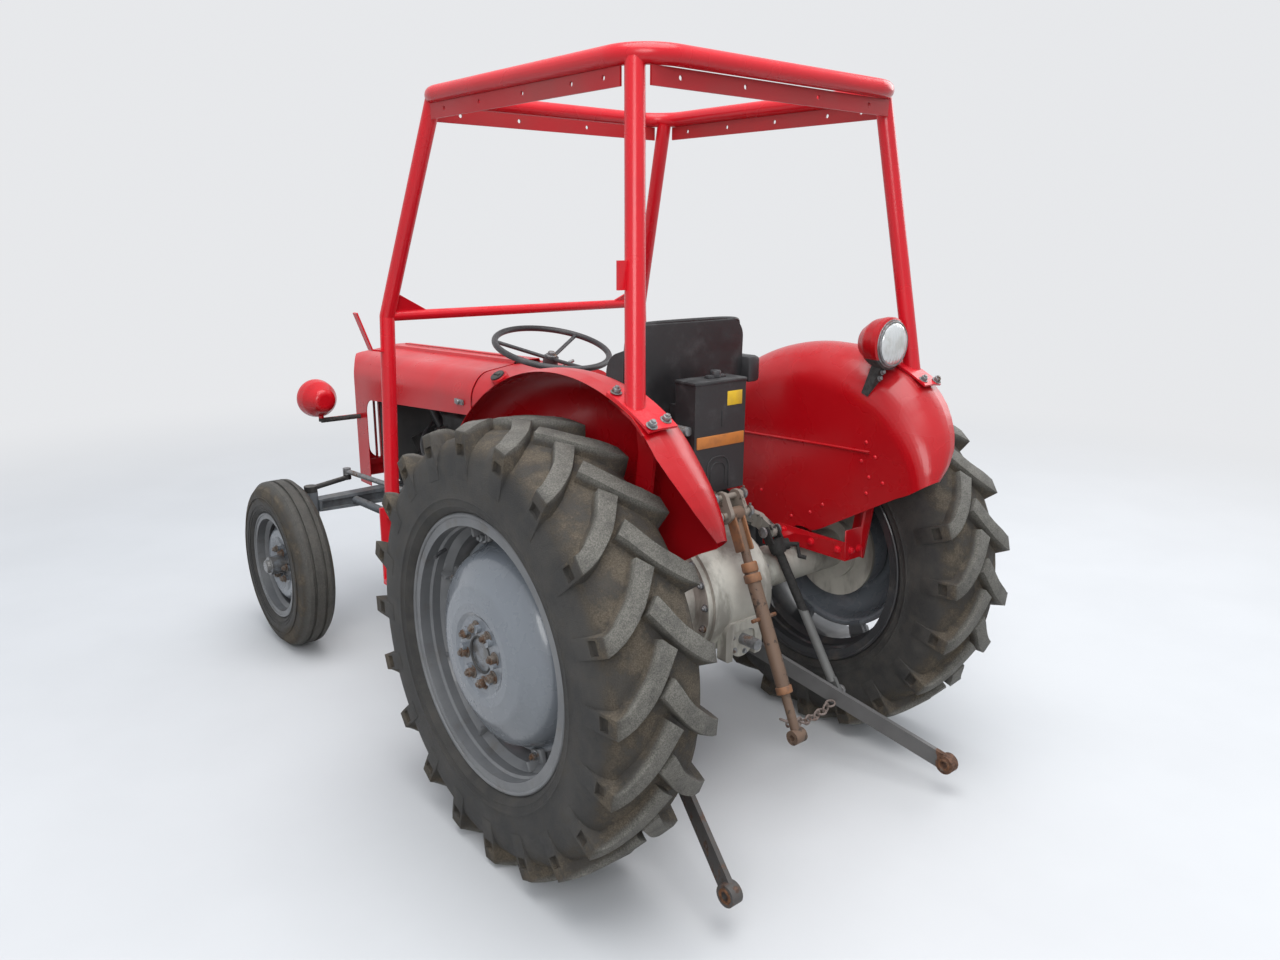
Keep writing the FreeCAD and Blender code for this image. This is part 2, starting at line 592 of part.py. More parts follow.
def front_support():
    half, front, rear = at.support_half, at.support_front, at.engine_front
    along = -at.wheelbase
    body = pad("support_body", "X", [
        (front, at.support_low), (rear, at.support_low - 130), (rear, at.support_top), (front, at.support_top)], -half, half)
    lugs = []
    for name, low in (("front", along - at.beam_deep / 2 - 26), ("rear", along + at.beam_deep / 2 + 1)):
        lugs.append(pad("pivot_lug_" + name, "Y", [
            (-60, at.support_low + 6), (-34, at.beam_high - 36, 26), (34, at.beam_high - 36, 26),
            (60, at.support_low + 6)], low, low + 25))
    pin = rod("pivot_pin", "Y", at.pivot_radius, (along - 62, along + 62), (0, at.beam_high))
    hinge = (at.bonnet_hinge_y, at.bonnet_hinge_high)
    for side in (-1, 1):
        near, far = sorted((side * 60, side * 80))
        lugs.append(block(f"hinge_lug_{side}", (near, far), (hinge[0], front + 20), (hinge[1] - 14, hinge[1] + 14)))
        lugs.append(rod(f"hinge_eye_{side}", "X", 17, (near, far), hinge))
    lugs.append(rod("hinge_pin", "X", at.hinge_radius, (-114, 114), hinge))
    whole = fuse("support_whole", body, pin, *lugs)
    arch = pad("beam_arch", "X", [
        (along - at.beam_deep / 2 - 0.9, at.beam_high - 60), (along - at.beam_deep / 2 - 0.9, at.support_low + 8),
        (along + at.beam_deep / 2 + 0.9, at.support_low + 8), (along + at.beam_deep / 2 + 0.9, at.beam_high - 60)],
        -half - 5, half + 5)
    keep = fuse("support_open", cut("support_arched", whole, arch),
                rod("pivot_pin_again", "Y", at.pivot_radius, (along - 60, along + 60), (0, at.beam_high)))
    return keep


# Engine fittings: name, middle across, engine end it is measured from, from, to, middle height, radius
ENGINE_ROUNDS = (
    ("dynamo", 160, "front", 20, 230, 700, 52),
    ("oil_filter", 150, "rear", -275, -205, 660, 42),
    ("starter", -126, "rear", -225, -25, 600, 45),
    ("injection_pump", 150, "front", 140, 330, 800, 38),
)


def engine():
    half, front, rear = at.block_half, at.engine_front, at.engine_rear
    sump = pad("sump", "Y", [
        (-half + 35, at.sump_low, 20), (half - 35, at.sump_low, 20), (half, at.block_low), (-half, at.block_low)],
        front + 40, rear)
    block_part = block("cylinder_block", (-half, half), (front, rear), (at.block_low, at.block_top))
    head = block("cylinder_head", (-half + 15, half - 15), (front + 15, rear - 25), (at.block_top, at.head_top))
    cover = pad("rocker_cover", "Y", [
        (-62, at.head_top), (-62, at.cover_top, 25), (62, at.cover_top, 25), (62, at.head_top)], front + 40, rear - 50)
    manifold = block("inlet_manifold", (-half - 60, -half + 20), (front + 70, rear - 80), (840, 890))
    parts = [sump, block_part, head, cover, manifold]
    for name, across, end, near, far, high, radius in ENGINE_ROUNDS:
        near, far = ((front if end == "front" else rear) + place for place in (near, far))
        parts.append(rod(name, "Y", radius, (near, far), (across, high)))
        side = 1 if across > 0 else -1
        low, top = sorted((side * (float(half) - 5), across))
        parts.append(block(name + "_seat", (low, top), (near + 20, far - 20), (high - 20, high + 20)))
    pulley = rod("fan_pulley", "Y", 55, (front - 40, front + 30), (0, at.fan_high))
    parts.append(pulley)
    for turn in range(4):
        blade = DOC.addObject("Part::Box", f"fan_blade_{turn}")
        bind(blade, Length=70, Width=4, Height=at.fan_reach)
        spin = FreeCAD.Placement(vector(0, at.engine_front - 70, at.fan_high),
                                 FreeCAD.Rotation(vector(0, 1, 0), 90 * turn + 20))
        blade.Placement = spin * FreeCAD.Placement(vector(-35, 0, 0), FreeCAD.Rotation())
        parts.append(blade)
    parts.append(rod("fan_hub", "Y", 38, (front - 72, front - 38), (0, at.fan_high)))
    return fuse("engine", *parts)


def exhaust():
    """Manifold on the engine's side, and a pipe that runs down and back under the footplate."""
    side = -1
    x = side * (at.block_half + 95)
    high = at.exhaust_high
    knee_y = float(at.drop_shaft_y - at.drop_arm_long)
    tail_y = -260
    down = Part.makeCylinder(float(at.exhaust_radius), 780 - float(high), vector(x, knee_y, high), vector(0, 0, 1))
    back = Part.makeCylinder(float(at.exhaust_radius), tail_y - knee_y, vector(x, knee_y, high), vector(0, 1, 0))
    knee = Part.makeSphere(float(at.exhaust_radius), vector(x, knee_y, high))
    box = Part.makeCylinder(42, 360, vector(x, -880, high), vector(0, 1, 0))
    log = Part.makeBox(124, 360, 40, vector(x - 29, knee_y - 338, 772))
    return shaped("exhaust", down.multiFuse([back, knee, box, log]).removeSplitter())


# Gearbox, rear housing, axle housings and lift

def gearbox():
    half = at.gearbox_half
    case = pad("gear_case", "Z", [
        (-half - 25, at.engine_rear), (-half - 25, at.engine_rear + 60), (-half + 10, at.engine_rear + 210, 60),
        (-half + 10, at.gearbox_rear - 70, 30), (-half - 10, at.gearbox_rear), (half + 10, at.gearbox_rear),
        (half - 10, at.gearbox_rear - 70, 30), (half - 10, at.engine_rear + 210, 60), (half + 25, at.engine_rear + 60),
        (half + 25, at.engine_rear)], at.gearbox_low, at.gearbox_top)
    levers = []
    for name, foot, top in (("main", (0, -620, 773), (20, -560, 1140)), ("range", (-60, -560, 773), (-100, -520, 960))):
        levers.append(strut(name + "_lever", 7, foot, top))
        levers.append(ball(name + "_knob", 19, top))
        levers.append(rod(name + "_lever_seat", "Z", 24, (at.gearbox_top - 2, at.gearbox_top + 22), foot[:2]))
    return fuse("gearbox", case, *levers)


def centre_housing():
    radius, half = at.drum_house_radius, at.drum_house_half
    drum = rod("drum_house", "X", radius, (-half, half), (0, at.axle_high))
    front = block("housing_front", (-half, half), (at.gearbox_rear, 0), (at.gearbox_low, at.gearbox_top + 10))
    neck = rod("pto_neck", "Y", 58, (0, at.pto_face_y), (0, at.pto_high))
    guard = pad("pto_guard", "Y", [
        (-78, at.pto_high - 60, 12), (-78, at.pto_high + 62, 30), (78, at.pto_high + 62, 30),
        (78, at.pto_high - 60, 12), (48, at.pto_high - 60), (48, at.pto_high + 30, 25), (-48, at.pto_high + 30, 25),
        (-48, at.pto_high - 60)], at.pto_face_y - 30, at.pto_face_y + 8)
    bracket = block("link_bracket", (-half, half), (at.link_pin_y - 36, at.link_pin_y + 40),
                    (at.link_pin_high - 26, at.link_pin_high + 70))
    pin = rod("link_pins", "X", 14, (-at.link_pin_across - 18, at.link_pin_across + 18),
              (at.link_pin_y, at.link_pin_high))
    whole = fuse("housing_whole", drum, front, neck, guard, bracket, pin)
    bore = rod("pto_bore", "Y", at.pto_radius + at.fit_gap, (at.pto_face_y - 60, at.pto_face_y + 20), (0, at.pto_high))
    return cut("centre_housing", whole, bore)


def axle_housing():
    start = at.drum_house_half
    end = at.rear_track_half + at.drum_in - at.backing_gap
    tube = at.trumpet_tube
    return turned("axle_housing", "X", [
        (start, 0), (start, at.trumpet_flange), (start + at.trumpet_thick, at.trumpet_flange),
        (start + at.trumpet_thick, at.trumpet_neck), (at.trumpet_taper_end, tube), (end - 34, tube),
        (end - 34, 112), (end - at.backing_thick, 112), (end - at.backing_thick, at.backing_radius - 8),
        (end - at.backing_thick, at.backing_radius), (end, at.backing_radius),
        (end, at.half_shaft + at.fit_gap), (at.rear_track_half - at.half_shaft_reach - 10, at.half_shaft + at.fit_gap),
        (at.rear_track_half - at.half_shaft_reach - 10, 0)])


def lift_cover():
    low, top = at.gearbox_top + 10, at.lift_cover_top
    half = at.drum_house_half
    case = pad("lift_case", "X", [
        (at.gearbox_rear + 20, low), (at.gearbox_rear + 20, top - 40, 20), (at.lift_shaft_y, top, 20),
        (60, top, 12), (60, low)], -half + 4, half - 4)
    low_cut = rod("drum_relief", "X", at.drum_house_radius, (-half - 5, half + 5), (0, at.axle_high))
    bore = rod("lift_bore", "X", at.lift_shaft_radius + at.fit_gap, (-half - 5, half + 5),
               (at.lift_shaft_y, at.lift_shaft_high))
    shell = cut("lift_cover_body", case, group("lift_cuts", low_cut, bore))
    return shell


def rocker():
    """Top link bracket: a block on the cover's rear with two ears and the pin across them."""
    pin_y, pin_z = at.top_pin_y, at.top_pin_high
    ear_in = at.top_eye_long / 2 + 1
    ears = []
    for side in (-1, 1):
        low, high = sorted((side * ear_in.value, side * (ear_in.value + 14)))
        ears.append(pad(f"rocker_ear_{side}", "X", [
            (60, 850), (60, 890, 10), (110, 965, 14), (140, 965, 14), (pin_y + 26, pin_z, 18), (pin_y, pin_z - 28, 18)],
            low, high))
    bridge = block("rocker_bridge", (-40, 40), (60, 82), (850, 886))
    pin = rod("rocker_pin", "X", at.top_bore - at.fit_gap, (-62, 62), (pin_y, pin_z))
    upper = rod("rocker_upper_pin", "X", 9, (-58, 58), (124, 948))
    return fuse("top_link_rocker", bridge, pin, upper, *ears)


def lift_arms():
    y, z = at.lift_shaft_y, at.lift_shaft_high
    shaft = rod("lift_shaft", "X", at.lift_shaft_radius, (-178, 178), (y, z))
    parts = [shaft]
    for side in (-1, 1):
        parts.append(rod(f"lift_boss_{side}", "X", 44, tuple(sorted((side * 128, side * 172))), (y, z)))
        end = vector(at.rod_across_top * side, at.lift_arm_end_y, at.lift_arm_end_high)
        bend = end + vector(0, y - at.lift_arm_end_y, z - at.lift_arm_end_high).normalize() * 58
        parts.append(flat_bar(f"lift_arm_{side}", 50, 22, (at.lift_arm_across * side, y, z), tuple(bend), (1, 0, 0)))
        parts.append(flat_bar(f"lift_arm_end_{side}", 46, 20, tuple(bend), tuple(end), (1, 0, 0)))
        parts.append(rod(f"lift_arm_knee_{side}", "X", 23, tuple(sorted((end.x - 12, end.x + 12))), (bend.y, bend.z)))
        near, far = sorted((end.x - 11, end.x + 11))
        parts.append(rod(f"lift_arm_eye_{side}", "X", 23, (near, far), (end.y, end.z)))
    bores = [rod(f"lift_arm_bore_{side}", "X", 10 + at.fit_gap, (at.rod_across_top * side - 30, at.rod_across_top * side + 30),
                 (at.lift_arm_end_y, at.lift_arm_end_high)) for side in (-1, 1)]
    return cut("lift_arms", fuse("lift_arms_whole", *parts), group("lift_arm_bores", *bores))


def lift_rod():
    """A fork over the arm's eye, a screwed rod and a fork over the lower link."""
    x = at.rod_across_top
    top = (x, at.lift_arm_end_y, at.lift_arm_end_high)
    low = (at.rod_bottom_across, at.rod_bottom_y, at.rod_bottom_high)
    run = (vector(*low) - vector(*top)).normalize()
    start, end = vector(*top) + run * 34, vector(*low) - run * 40
    tube = strut("rod_tube", at.rod_radius, tuple(start), tuple(end))
    barrel = strut("rod_barrel", 24, tuple(start), tuple(start + run * 46))
    parts = [tube, barrel]
    for side in (-1, 1):
        offset = vector(side * 24, 0, 0)
        parts.append(flat_bar(f"rod_fork_{side}", 34, 9, tuple(vector(*top) + offset - run * 14),
                              tuple(start + run * 10 + offset), (1, 0, 0)))
    parts.append(strut("rod_pin", 10, tuple(vector(*top) + vector(-28, 0, 0)), tuple(vector(*top) + vector(28, 0, 0))))
    parts.append(flat_bar("rod_foot", 36, 12, tuple(end - run * 10), tuple(vector(*low) + run * 12), (1, 0, 0)))
    parts.append(rod("rod_foot_pin", "X", 11, (at.rod_bottom_across - 10.6, at.rod_bottom_across + 14),
                     (at.rod_bottom_y, at.rod_bottom_high)))
    return fuse("lift_rod", *parts)


def levelling_box():
    """The bevel gear housing of the screwed lift rod, with its crank."""
    top = vector(at.rod_across_top, at.lift_arm_end_y, at.lift_arm_end_high)
    low = vector(at.rod_bottom_across, at.rod_bottom_y, at.rod_bottom_high)
    run = (low - top).normalize()
    gear = top + run * 52
    boss = gear + vector(36, 20, 4)
    elbow = boss + vector(24, 18, -2)
    grip = elbow + vector(2, 10, -40)
    parts = [strut("levelling_case", 27, tuple(top + run * 32), tuple(top + run * 72)),
             strut("levelling_boss", 19, tuple(gear), tuple(boss)),
             strut("crank_shaft", 7, tuple(boss - (boss - gear) * 0.2), tuple(elbow)),
             strut("crank_arm", 6, tuple(elbow), tuple(grip)), ball("crank_elbow", 7, tuple(elbow)),
             strut("crank_grip", 7, tuple(grip), tuple(grip + vector(14, 18, -4))), ball("crank_knee", 7, tuple(grip))]
    return fuse("levelling_box", *parts)


def lower_link():
    front = (at.link_pin_across, at.link_pin_y, at.link_pin_high)
    rear = (at.link_end_across, at.link_end_y, at.link_end_high)
    bar = flat_bar("link_bar", at.link_tall, at.link_thick, front, rear, (1, 0, 0))
    front_eye = rod("link_front_eye", "X", 32, (at.link_pin_across - 16, at.link_pin_across + 16), front[1:])
    rear_eye = rod("link_rear_eye", "X", at.link_eye_radius,
                   (at.link_end_across - at.link_eye_long / 2, at.link_end_across + at.link_eye_long / 2), rear[1:])
    whole = fuse("link_whole", bar, front_eye, rear_eye)
    bores = group("link_bores",
                  rod("link_rear_bore", "X", at.link_bore, (at.link_end_across - 40, at.link_end_across + 40), rear[1:]),
                  rod("link_front_bore", "X", 14 + at.fit_gap, (at.link_pin_across - 40, at.link_pin_across + 40), front[1:]))
    return cut("lower_link", whole, bores)


def top_link():
    top = (0, at.top_pin_y, at.top_pin_high)
    low = (0, at.top_end_y, at.top_end_high)
    run = (vector(*low) - vector(*top)).normalize()
    half = at.top_eye_long / 2
    parts = [
        rod("top_eye", "X", at.top_eye_radius, (-half, half), top[1:]),
        rod("low_eye", "X", at.top_eye_radius, (-half, half), low[1:]),
        strut("top_screw", at.top_screw_radius, top, tuple(vector(*top) + run * 200)),
        strut("low_screw", at.top_screw_radius, tuple(vector(*low) - run * 150), low),
        strut("turnbuckle", at.top_tube_radius, tuple(vector(*top) + run * 180), tuple(vector(*low) - run * 130)),
    ]
    whole = fuse("top_link_whole", *parts)
    bores = group("top_bores", rod("top_bore_a", "X", at.top_bore, (-60, 60), top[1:]),
                  rod("top_bore_b", "X", at.top_bore, (-60, 60), low[1:]))
    return cut("top_link", whole, bores)


def check_chain():
    """Chain links in turn flat and upright along a slack curve from the right lower link."""
    start_y = at.rod_bottom_y + 10
    share = (float(start_y) - float(at.link_pin_y)) / (float(at.link_end_y) - float(at.link_pin_y))
    link_across = float(at.link_pin_across) + share * (float(at.link_end_across) - float(at.link_pin_across))
    seat = 11.6
    start = vector(seat - link_across, start_y, at.rod_bottom_high - 20)
    end = vector(-60, at.rod_bottom_y + 40, at.rod_bottom_high + 20)
    count = 11
    points = []
    for index in range(count + 1):
        share = index / count
        sag = -4 * 34 * share * (1 - share)
        points.append(start + (end - start) * share + vector(0, 0, sag))
    links = []
    for index in range(count):
        middle = (points[index] + points[index + 1]) * 0.5
        along = (points[index + 1] - points[index]).normalize()
        side = along.cross(vector(0, 0, 1)).normalize()
        if index % 2:
            side = along.cross(side).normalize()
        links.append(Part.makeTorus(15, 3.6, middle, along.cross(side).normalize()))
    return shaped("check_chain", Part.makeCompound(links))


# Bonnet, grille and headlamps

def hood_section(name, place, half, low, crease, top, inset):
    """The bonnet's cross-section: sides, a soft crease, shoulders and the raised spine."""
    sketch = DOC.addObject("Sketcher::SketchObject", name)
    sketch.Placement = FreeCAD.Placement(vector(0, 0, 0), FreeCAD.Rotation(vector(1, 0, 0), 90))
    move(sketch, 0, place, 0)
    spine, rise = at.spine_half, at.spine_high
    right = [(half - inset, low), (half - inset, crease, at.crease_round - inset),
             (half - 42 - inset, top - 22 - inset, at.shoulder_round - inset), (spine + 4, top - inset),
             (spine, top + rise - inset)]
    draw_outline(sketch, right + [(-c[0],) + tuple(c[1:]) for c in reversed(right)])
    return sketch


def hood_solid(name, inset, foot):
    """Loft from the rear section to the front one, then round it off with the nose's side outline."""
    rear = hood_section(name + "_rear", at.hood_rear + 20, at.hood_half, foot, at.crease_rear, at.hood_top_rear, inset)
    front = hood_section(name + "_front", at.hood_front - 20, at.hood_half - 8, foot, at.crease_front,
                         at.hood_top_front, inset)
    loft = DOC.addObject("Part::Loft", name + "_loft")
    loft.Sections = [rear, front]
    loft.Solid = True
    loft.Ruled = True
    side = pad(name + "_side", "X", [
        (at.hood_front + at.hood_foot_back + inset, foot), (at.hood_front + inset, at.crease_front - 16, 300),
        (at.hood_front + 34 + inset, at.hood_top_front - 20 - inset, 60),
        (at.hood_front + 150, at.hood_top_front + 60), (at.hood_rear, at.hood_top_rear + 90),
        (at.hood_rear, foot)], -300, 300)
    plan = pad(name + "_plan", "Z", [
        (-300, at.hood_rear + 50), (-300, at.hood_front + 200), (-at.hood_half + inset - 2, at.hood_front + 140 + inset, 60),
        (-at.hood_half + 86 + inset, at.hood_front + inset, 80), (at.hood_half - 86 - inset, at.hood_front + inset, 80),
        (at.hood_half - inset + 2, at.hood_front + 140 + inset, 60), (300, at.hood_front + 200), (300, at.hood_rear + 50)],
        foot - 5, 1400)
    common = DOC.addObject("Part::MultiCommon", name)
    common.Shapes = [loft, side, plan]
    return common


def bonnet():
    outer = hood_solid("hood_outer", Size(0), at.hood_foot)
    inner = hood_solid("hood_inner", at.wall, at.hood_foot - 10)
    shell = cut("hood_shell", outer, inner)
    open_side = pad("hood_open_side", "X", [
        (at.cowl_rear, 500), (at.cowl_rear, at.hood_low_front, 60), (at.hood_rear + 30, at.hood_low_rear + 4),
        (at.hood_rear + 30, 500)], -300, 300)
    open_front = pad("hood_open_front", "Y", [
        (-at.grille_half, at.grille_low, 50), (-at.grille_half, at.grille_top, 50),
        (at.grille_half, at.grille_top, 50), (at.grille_half, at.grille_low, 50)],
        at.hood_front - 30, at.hood_front + 110)
    hinge = (at.bonnet_hinge_y, at.bonnet_hinge_high)
    ears = []
    for side in (-1, 1):
        near, far = sorted((side * 96, side * 106))
        ears.append(block(f"hood_ear_{side}", (near, far), (at.hood_front + 42, hinge[0]), (hinge[1] - 12, hinge[1] + 12)))
        ears.append(rod(f"hood_eye_{side}", "X", 17, (near, far), hinge))
    opened = cut("hood_opened", shell, group("hood_openings", open_side, open_front))
    bore = rod("hinge_bore", "X", at.hinge_radius + at.fit_gap, (-120, 120), hinge)
    return cut("bonnet", fuse("hood_with_ears", opened, *ears), bore)


def grille():
    bars = []
    low, top = at.grille_low - 20, at.grille_top + 20
    back = at.hood_front + 62
    for index in range(-6, 7):
        bars.append(block(f"grille_bar_{index}", (22 * index - 3, 22 * index + 3), (back, back + 14), (low, top)))
    rails = [block(f"grille_rail_{k}", (-at.grille_half - 56.6, at.grille_half + 56.6), (back + 14, back + 20), span)
             for k, span in enumerate(((low, low + 25), (top - 25, top)))]
    return fuse("grille", *bars, *rails)


def headlamp():
    x, y, z = at.headlamp_across, at.headlamp_y, at.headlamp_high
    radius, deep = at.headlamp_radius, at.headlamp_deep
    bowl = turned("headlamp_bowl", "Y", [
        (-38, 0), (-38, radius - 12), (-30, radius), (-14, radius), (20, radius - 6, 40), (deep - 38, 42, 30), (deep - 38, 0)])
    move(bowl, x, y, z)
    arm = rod("headlamp_arm", "X", 11, (at.hood_half - 6.2, x), (y + 20, z - 92))
    stem = rod("headlamp_stem", "Z", 11, (z - 96, z - 60), (x, y + 20))
    return fuse("headlamp", bowl, arm, stem)


# Radiator, tank, dash and column

def fuel_tank():
    tank = pad("fuel_shell", "Y", [
        (-at.tank_half, at.tank_low, 30), (-at.tank_half, at.tank_top - 20, 30), (at.tank_half, at.tank_top - 20, 30),
        (at.tank_half, at.tank_low, 30)], at.tank_front, at.tank_rear)
    feet = [block("tank_foot", (-40, 40), (y, y + 30), (at.cover_top, at.tank_low + 5)) for y in (at.tank_front + 50, at.tank_rear - 80)]
    return fuse("tank_whole", tank, *feet)


def dash():
    half = at.dash_half
    right = [(half, at.dash_low), (half, at.crease_rear, at.crease_round - 3),
             (half - 42, at.dash_top - 22, at.shoulder_round - 3), (at.spine_half + 4, at.dash_top)]
    shell = pad("dash_shell", "Y", right + [(-c[0],) + tuple(c[1:]) for c in reversed(right)],
                at.dash_front, at.dash_rear)
    slope = pad("dash_slope", "X", [
        (at.dash_rear + 10, at.dash_low - 10), (at.dash_rear + 10, at.dash_top + 40), (at.dash_rear - 60, at.dash_top + 40),
        (at.dash_rear - 10, at.dash_low + 60), (at.dash_rear - 60, at.dash_low - 10)], -300, 300)
    filler = turned("filler_ring", "Z", [(0, 0), (0, 32), (22, 32, 4), (22, 24), (14, 24), (14, 0)])
    filler.Placement = FreeCAD.Placement(vector(at.dash_half - 49, -825, at.dash_top - 34),
                                         FreeCAD.Rotation(vector(0, 1, 0), 33))
    legs = [block(f"dash_leg_{side}", (side * 70 - 9, side * 70 + 9), (-818, -740), (at.gearbox_top, at.dash_low + 5))
            for side in (-1, 1)]
    whole = fuse("dash_whole", cut("dash_body", shell, slope), filler, *legs)
    hole = column_bar("column_hole", at.column_radius + 1, 1000, 1300)
    return cut("dash", whole, hole)


def column_axis():
    tilt = math.radians(float(at.wheel_tilt))
    return vector(0, math.sin(tilt), math.cos(tilt))


def column_bar(name, radius, low, high):
    """A round bar on the steering column's axis between two heights."""
    hub = vector(0, at.wheel_hub_y, at.wheel_hub_high)
    axis = column_axis()
    start = hub + axis * ((float(low) - hub.z) / axis.z)
    end = hub + axis * ((float(high) - hub.z) / axis.z)
    return strut(name, radius, tuple(start), tuple(end))


def steering_column():
    box = pad("steering_box", "X", [
        (at.engine_rear + 1, at.gearbox_top), (at.engine_rear + 1, at.block_top + 4), (at.engine_rear - 21, at.block_top + 14),
        (at.engine_rear - 21, at.drop_shaft_high + 50, 16),
        (at.drop_shaft_y + 20, at.drop_shaft_high + 50, 16), (at.drop_shaft_y + 38, at.gearbox_top + 60, 20),
        (at.drop_shaft_y + 38, at.gearbox_top)], -90, 90)
    tube = column_bar("column_tube", at.column_radius, at.drop_shaft_high + 20, at.wheel_hub_high - 70)
    whole = fuse("column_whole", box, tube)
    shaft_hole = column_bar("shaft_hole", at.shaft_radius + at.fit_gap, at.wheel_hub_high - 110, at.wheel_hub_high)
    drop_hole = rod("drop_hole", "X", 14 + at.fit_gap, (-100, 100), (at.drop_shaft_y, at.drop_shaft_high))
    return cut("steering_column", whole, group("column_holes", shaft_hole, drop_hole))


def steering_wheel():
    hub = vector(0, at.wheel_hub_y, at.wheel_hub_high)
    axis = column_axis()
    rim = Part.makeTorus(float(at.hand_rim), float(at.hand_rim_thick), hub - axis * 3, axis)
    boss = Part.makeCylinder(28, 26, hub - axis * 63, axis)
    shaft = Part.makeCylinder(float(at.shaft_radius), 60, hub - axis * 110, axis)
    parts = [boss, shaft]
    for turn in (90, 210, 330):
        flat = vector(math.cos(math.radians(turn)), 0, 0) + axis.cross(vector(1, 0, 0)) * math.sin(math.radians(turn))
        reach = flat * float(at.hand_rim) + axis * 42
        parts.append(Part.makeCylinder(7, reach.Length - 2, hub - axis * 46, reach))
    return shaped("steering_wheel", rim.multiFuse(parts).removeSplitter())


# Driver's place

def fender():
    """A shell round a centre behind and above the axle, its bead, and the bracket that carries it."""
    inside, out, crown, lip = at.fender_in, at.fender_out, at.fender_crown, at.fender_lip
    sheet, corner = at.fender_sheet, at.fender_corner
    body = turned("fender", "X", [
        (inside, 90), (inside, crown, corner), (out - 40, crown, 12), (out, lip),
        (out - 2, lip - sheet), (out - 40, crown - sheet, 9), (inside + sheet, crown - sheet, corner - sheet),
        (inside + sheet, 90)], at.fender_to - at.fender_from)
    body.Placement = FreeCAD.Placement(vector(0, 0, 0), FreeCAD.Rotation(vector(1, 0, 0), float(at.fender_from)))
    move(body, 0, at.fender_back, at.axle_high + at.fender_up)
    hub = at.axle_high
    low = pad("fender_bottom", "X", [
        (-900, hub - 20), (900, hub - 20), (900, hub + 372), (530, hub + 372, 40), (120, hub + 135, 200),
        (-80, hub + 112, 300), (-330, hub + 170, 200), (-760, hub + 170)], inside - 10, inside + 40)
    wall = cut("fender_wall", body, low)
    bead = strut("fender_bead", 4.5, (inside - 2, -330, hub + 417), (inside - 2, 328, hub + 443))
    seat = at.axle_high + at.trumpet_tube
    rear, top = at.rail_rear, seat + at.rail_tall
    parts = [
        block("fender_channel", (inside - 72, inside + 87), (-35, 45), (seat, seat + 42)),
        block("fender_rail", (inside - 4, inside + 2), (-30, rear), (seat, top)),
        block("rail_floor", (inside - 4, inside + 87), (-30, rear), (seat, seat + 6)),
        block("rail_end", (inside - 4, inside + 87), (rear - 6, rear), (seat, top + 40)),
        block("fender_tie", (inside, inside + 12), (-30, 40), (seat, seat + 110)),
        flat_bar("post_leg", 60, 10, (inside + 81, rear - 22, seat), (inside + 81, 312, hub + 565), (1, 0, 0)),
        flat_bar("post_leg_top", 60, 10, (inside + 81, 311, hub + 555), (inside + 118, 335, hub + 688), (1, 0, 0)),
        crown_ring("post_seat", -12, -2, foot_turn() - 6, 12),
    ]
    return fuse("fender_one", wall, bead, *parts)


def footplate():
    body = pad("footplate", "Z", [
        (at.plate_in, at.plate_front), (at.plate_out, at.plate_front, 30), (at.plate_out, at.plate_rear, 30),
        (at.plate_in, at.plate_rear)], at.plate_high, at.plate_high + 5)
    arms = [block(f"plate_arm_{y}", (inner, at.plate_out - 60), (y, y + 30), (at.plate_high - 25, at.plate_high))
            for y, inner in ((-895, at.gearbox_half + 25), (-480, at.gearbox_half - 10))]
    stalk = strut("pedal_stalk", 8, (315, -872, at.plate_high + 2), (315, -838, at.plate_high + 118))
    pedal = flat_bar("pedal", 62, 8, (280, -834, at.plate_high + 122), (350, -834, at.plate_high + 122), (0, 1, 1))
    return fuse("footplate_one", body, stalk, pedal, *arms)


def seat_shell():
    half, low, top = at.seat_half, at.seat_low, at.seat_back_top
    back_y, front_y = at.seat_back_y, at.seat_front_y
    pan = pad("seat_pan", "X", [
        (front_y, low + 18), (front_y, low + 28), (back_y - 20, low + 8, 25), (back_y - 4, top, 5), (back_y + 10, top, 5),
        (back_y, low - 4, 20)], -half, half)
    front = pad("seat_front_view", "Y", [
        (-half, low - 30), (half, low - 30), (half, top, 60), (-half, top, 60)], front_y - 20, back_y + 40)
    whole = DOC.addObject("Part::MultiCommon", "seat_rounded")
    whole.Shapes = [pan, front]
    wings = []
    for side in (-1, 1):
        near, far = sorted((side * (half.value - 3), side * (half.value + 3)))
        wings.append(pad(f"seat_wing_{side}", "X", [
            (back_y - 12, low + 70), (back_y - 100, low + 120, 60), (back_y - 95, top - 100, 70), (back_y, top - 70)],
            near, far))
    return fuse("seat_shell", whole, *wings)


def seat_cushions():
    half, low = at.seat_half - 22, at.seat_low
    base = pad("seat_base_cushion", "X", [
        (at.seat_front_y + 12, low + 27.8, 4), (at.seat_front_y + 12, low + 105, 35), (-205, low + 95, 25), (-205, low + 13.8, 5)],
        -half, half)
    back = pad("seat_back_cushion", "X", [
        (-178, low + 110, 22), (-150, at.seat_back_top - 30, 22), (-80.4, at.seat_back_top - 30, 6), (-91.7, low + 110, 6)],
        -half, half)
    return group("seat_cushions", base, back)


def seat_box():
    half = at.seat_box_half
    case = block("seat_case", (-half, half), (at.seat_box_front, at.seat_box_rear), (at.seat_box_low, at.seat_box_top))
    stalk = block("seat_stalk", (-60, 60), (at.seat_box_front - 40, at.seat_box_front + 20),
                  (at.lift_cover_top, at.seat_box_low + 60))
    bridge = block("seat_bridge", (-70, 70), (at.seat_back_y + 5, at.seat_box_front), (1150, 1210))
    return fuse("seat_box", case, stalk, bridge)


# Safety frame

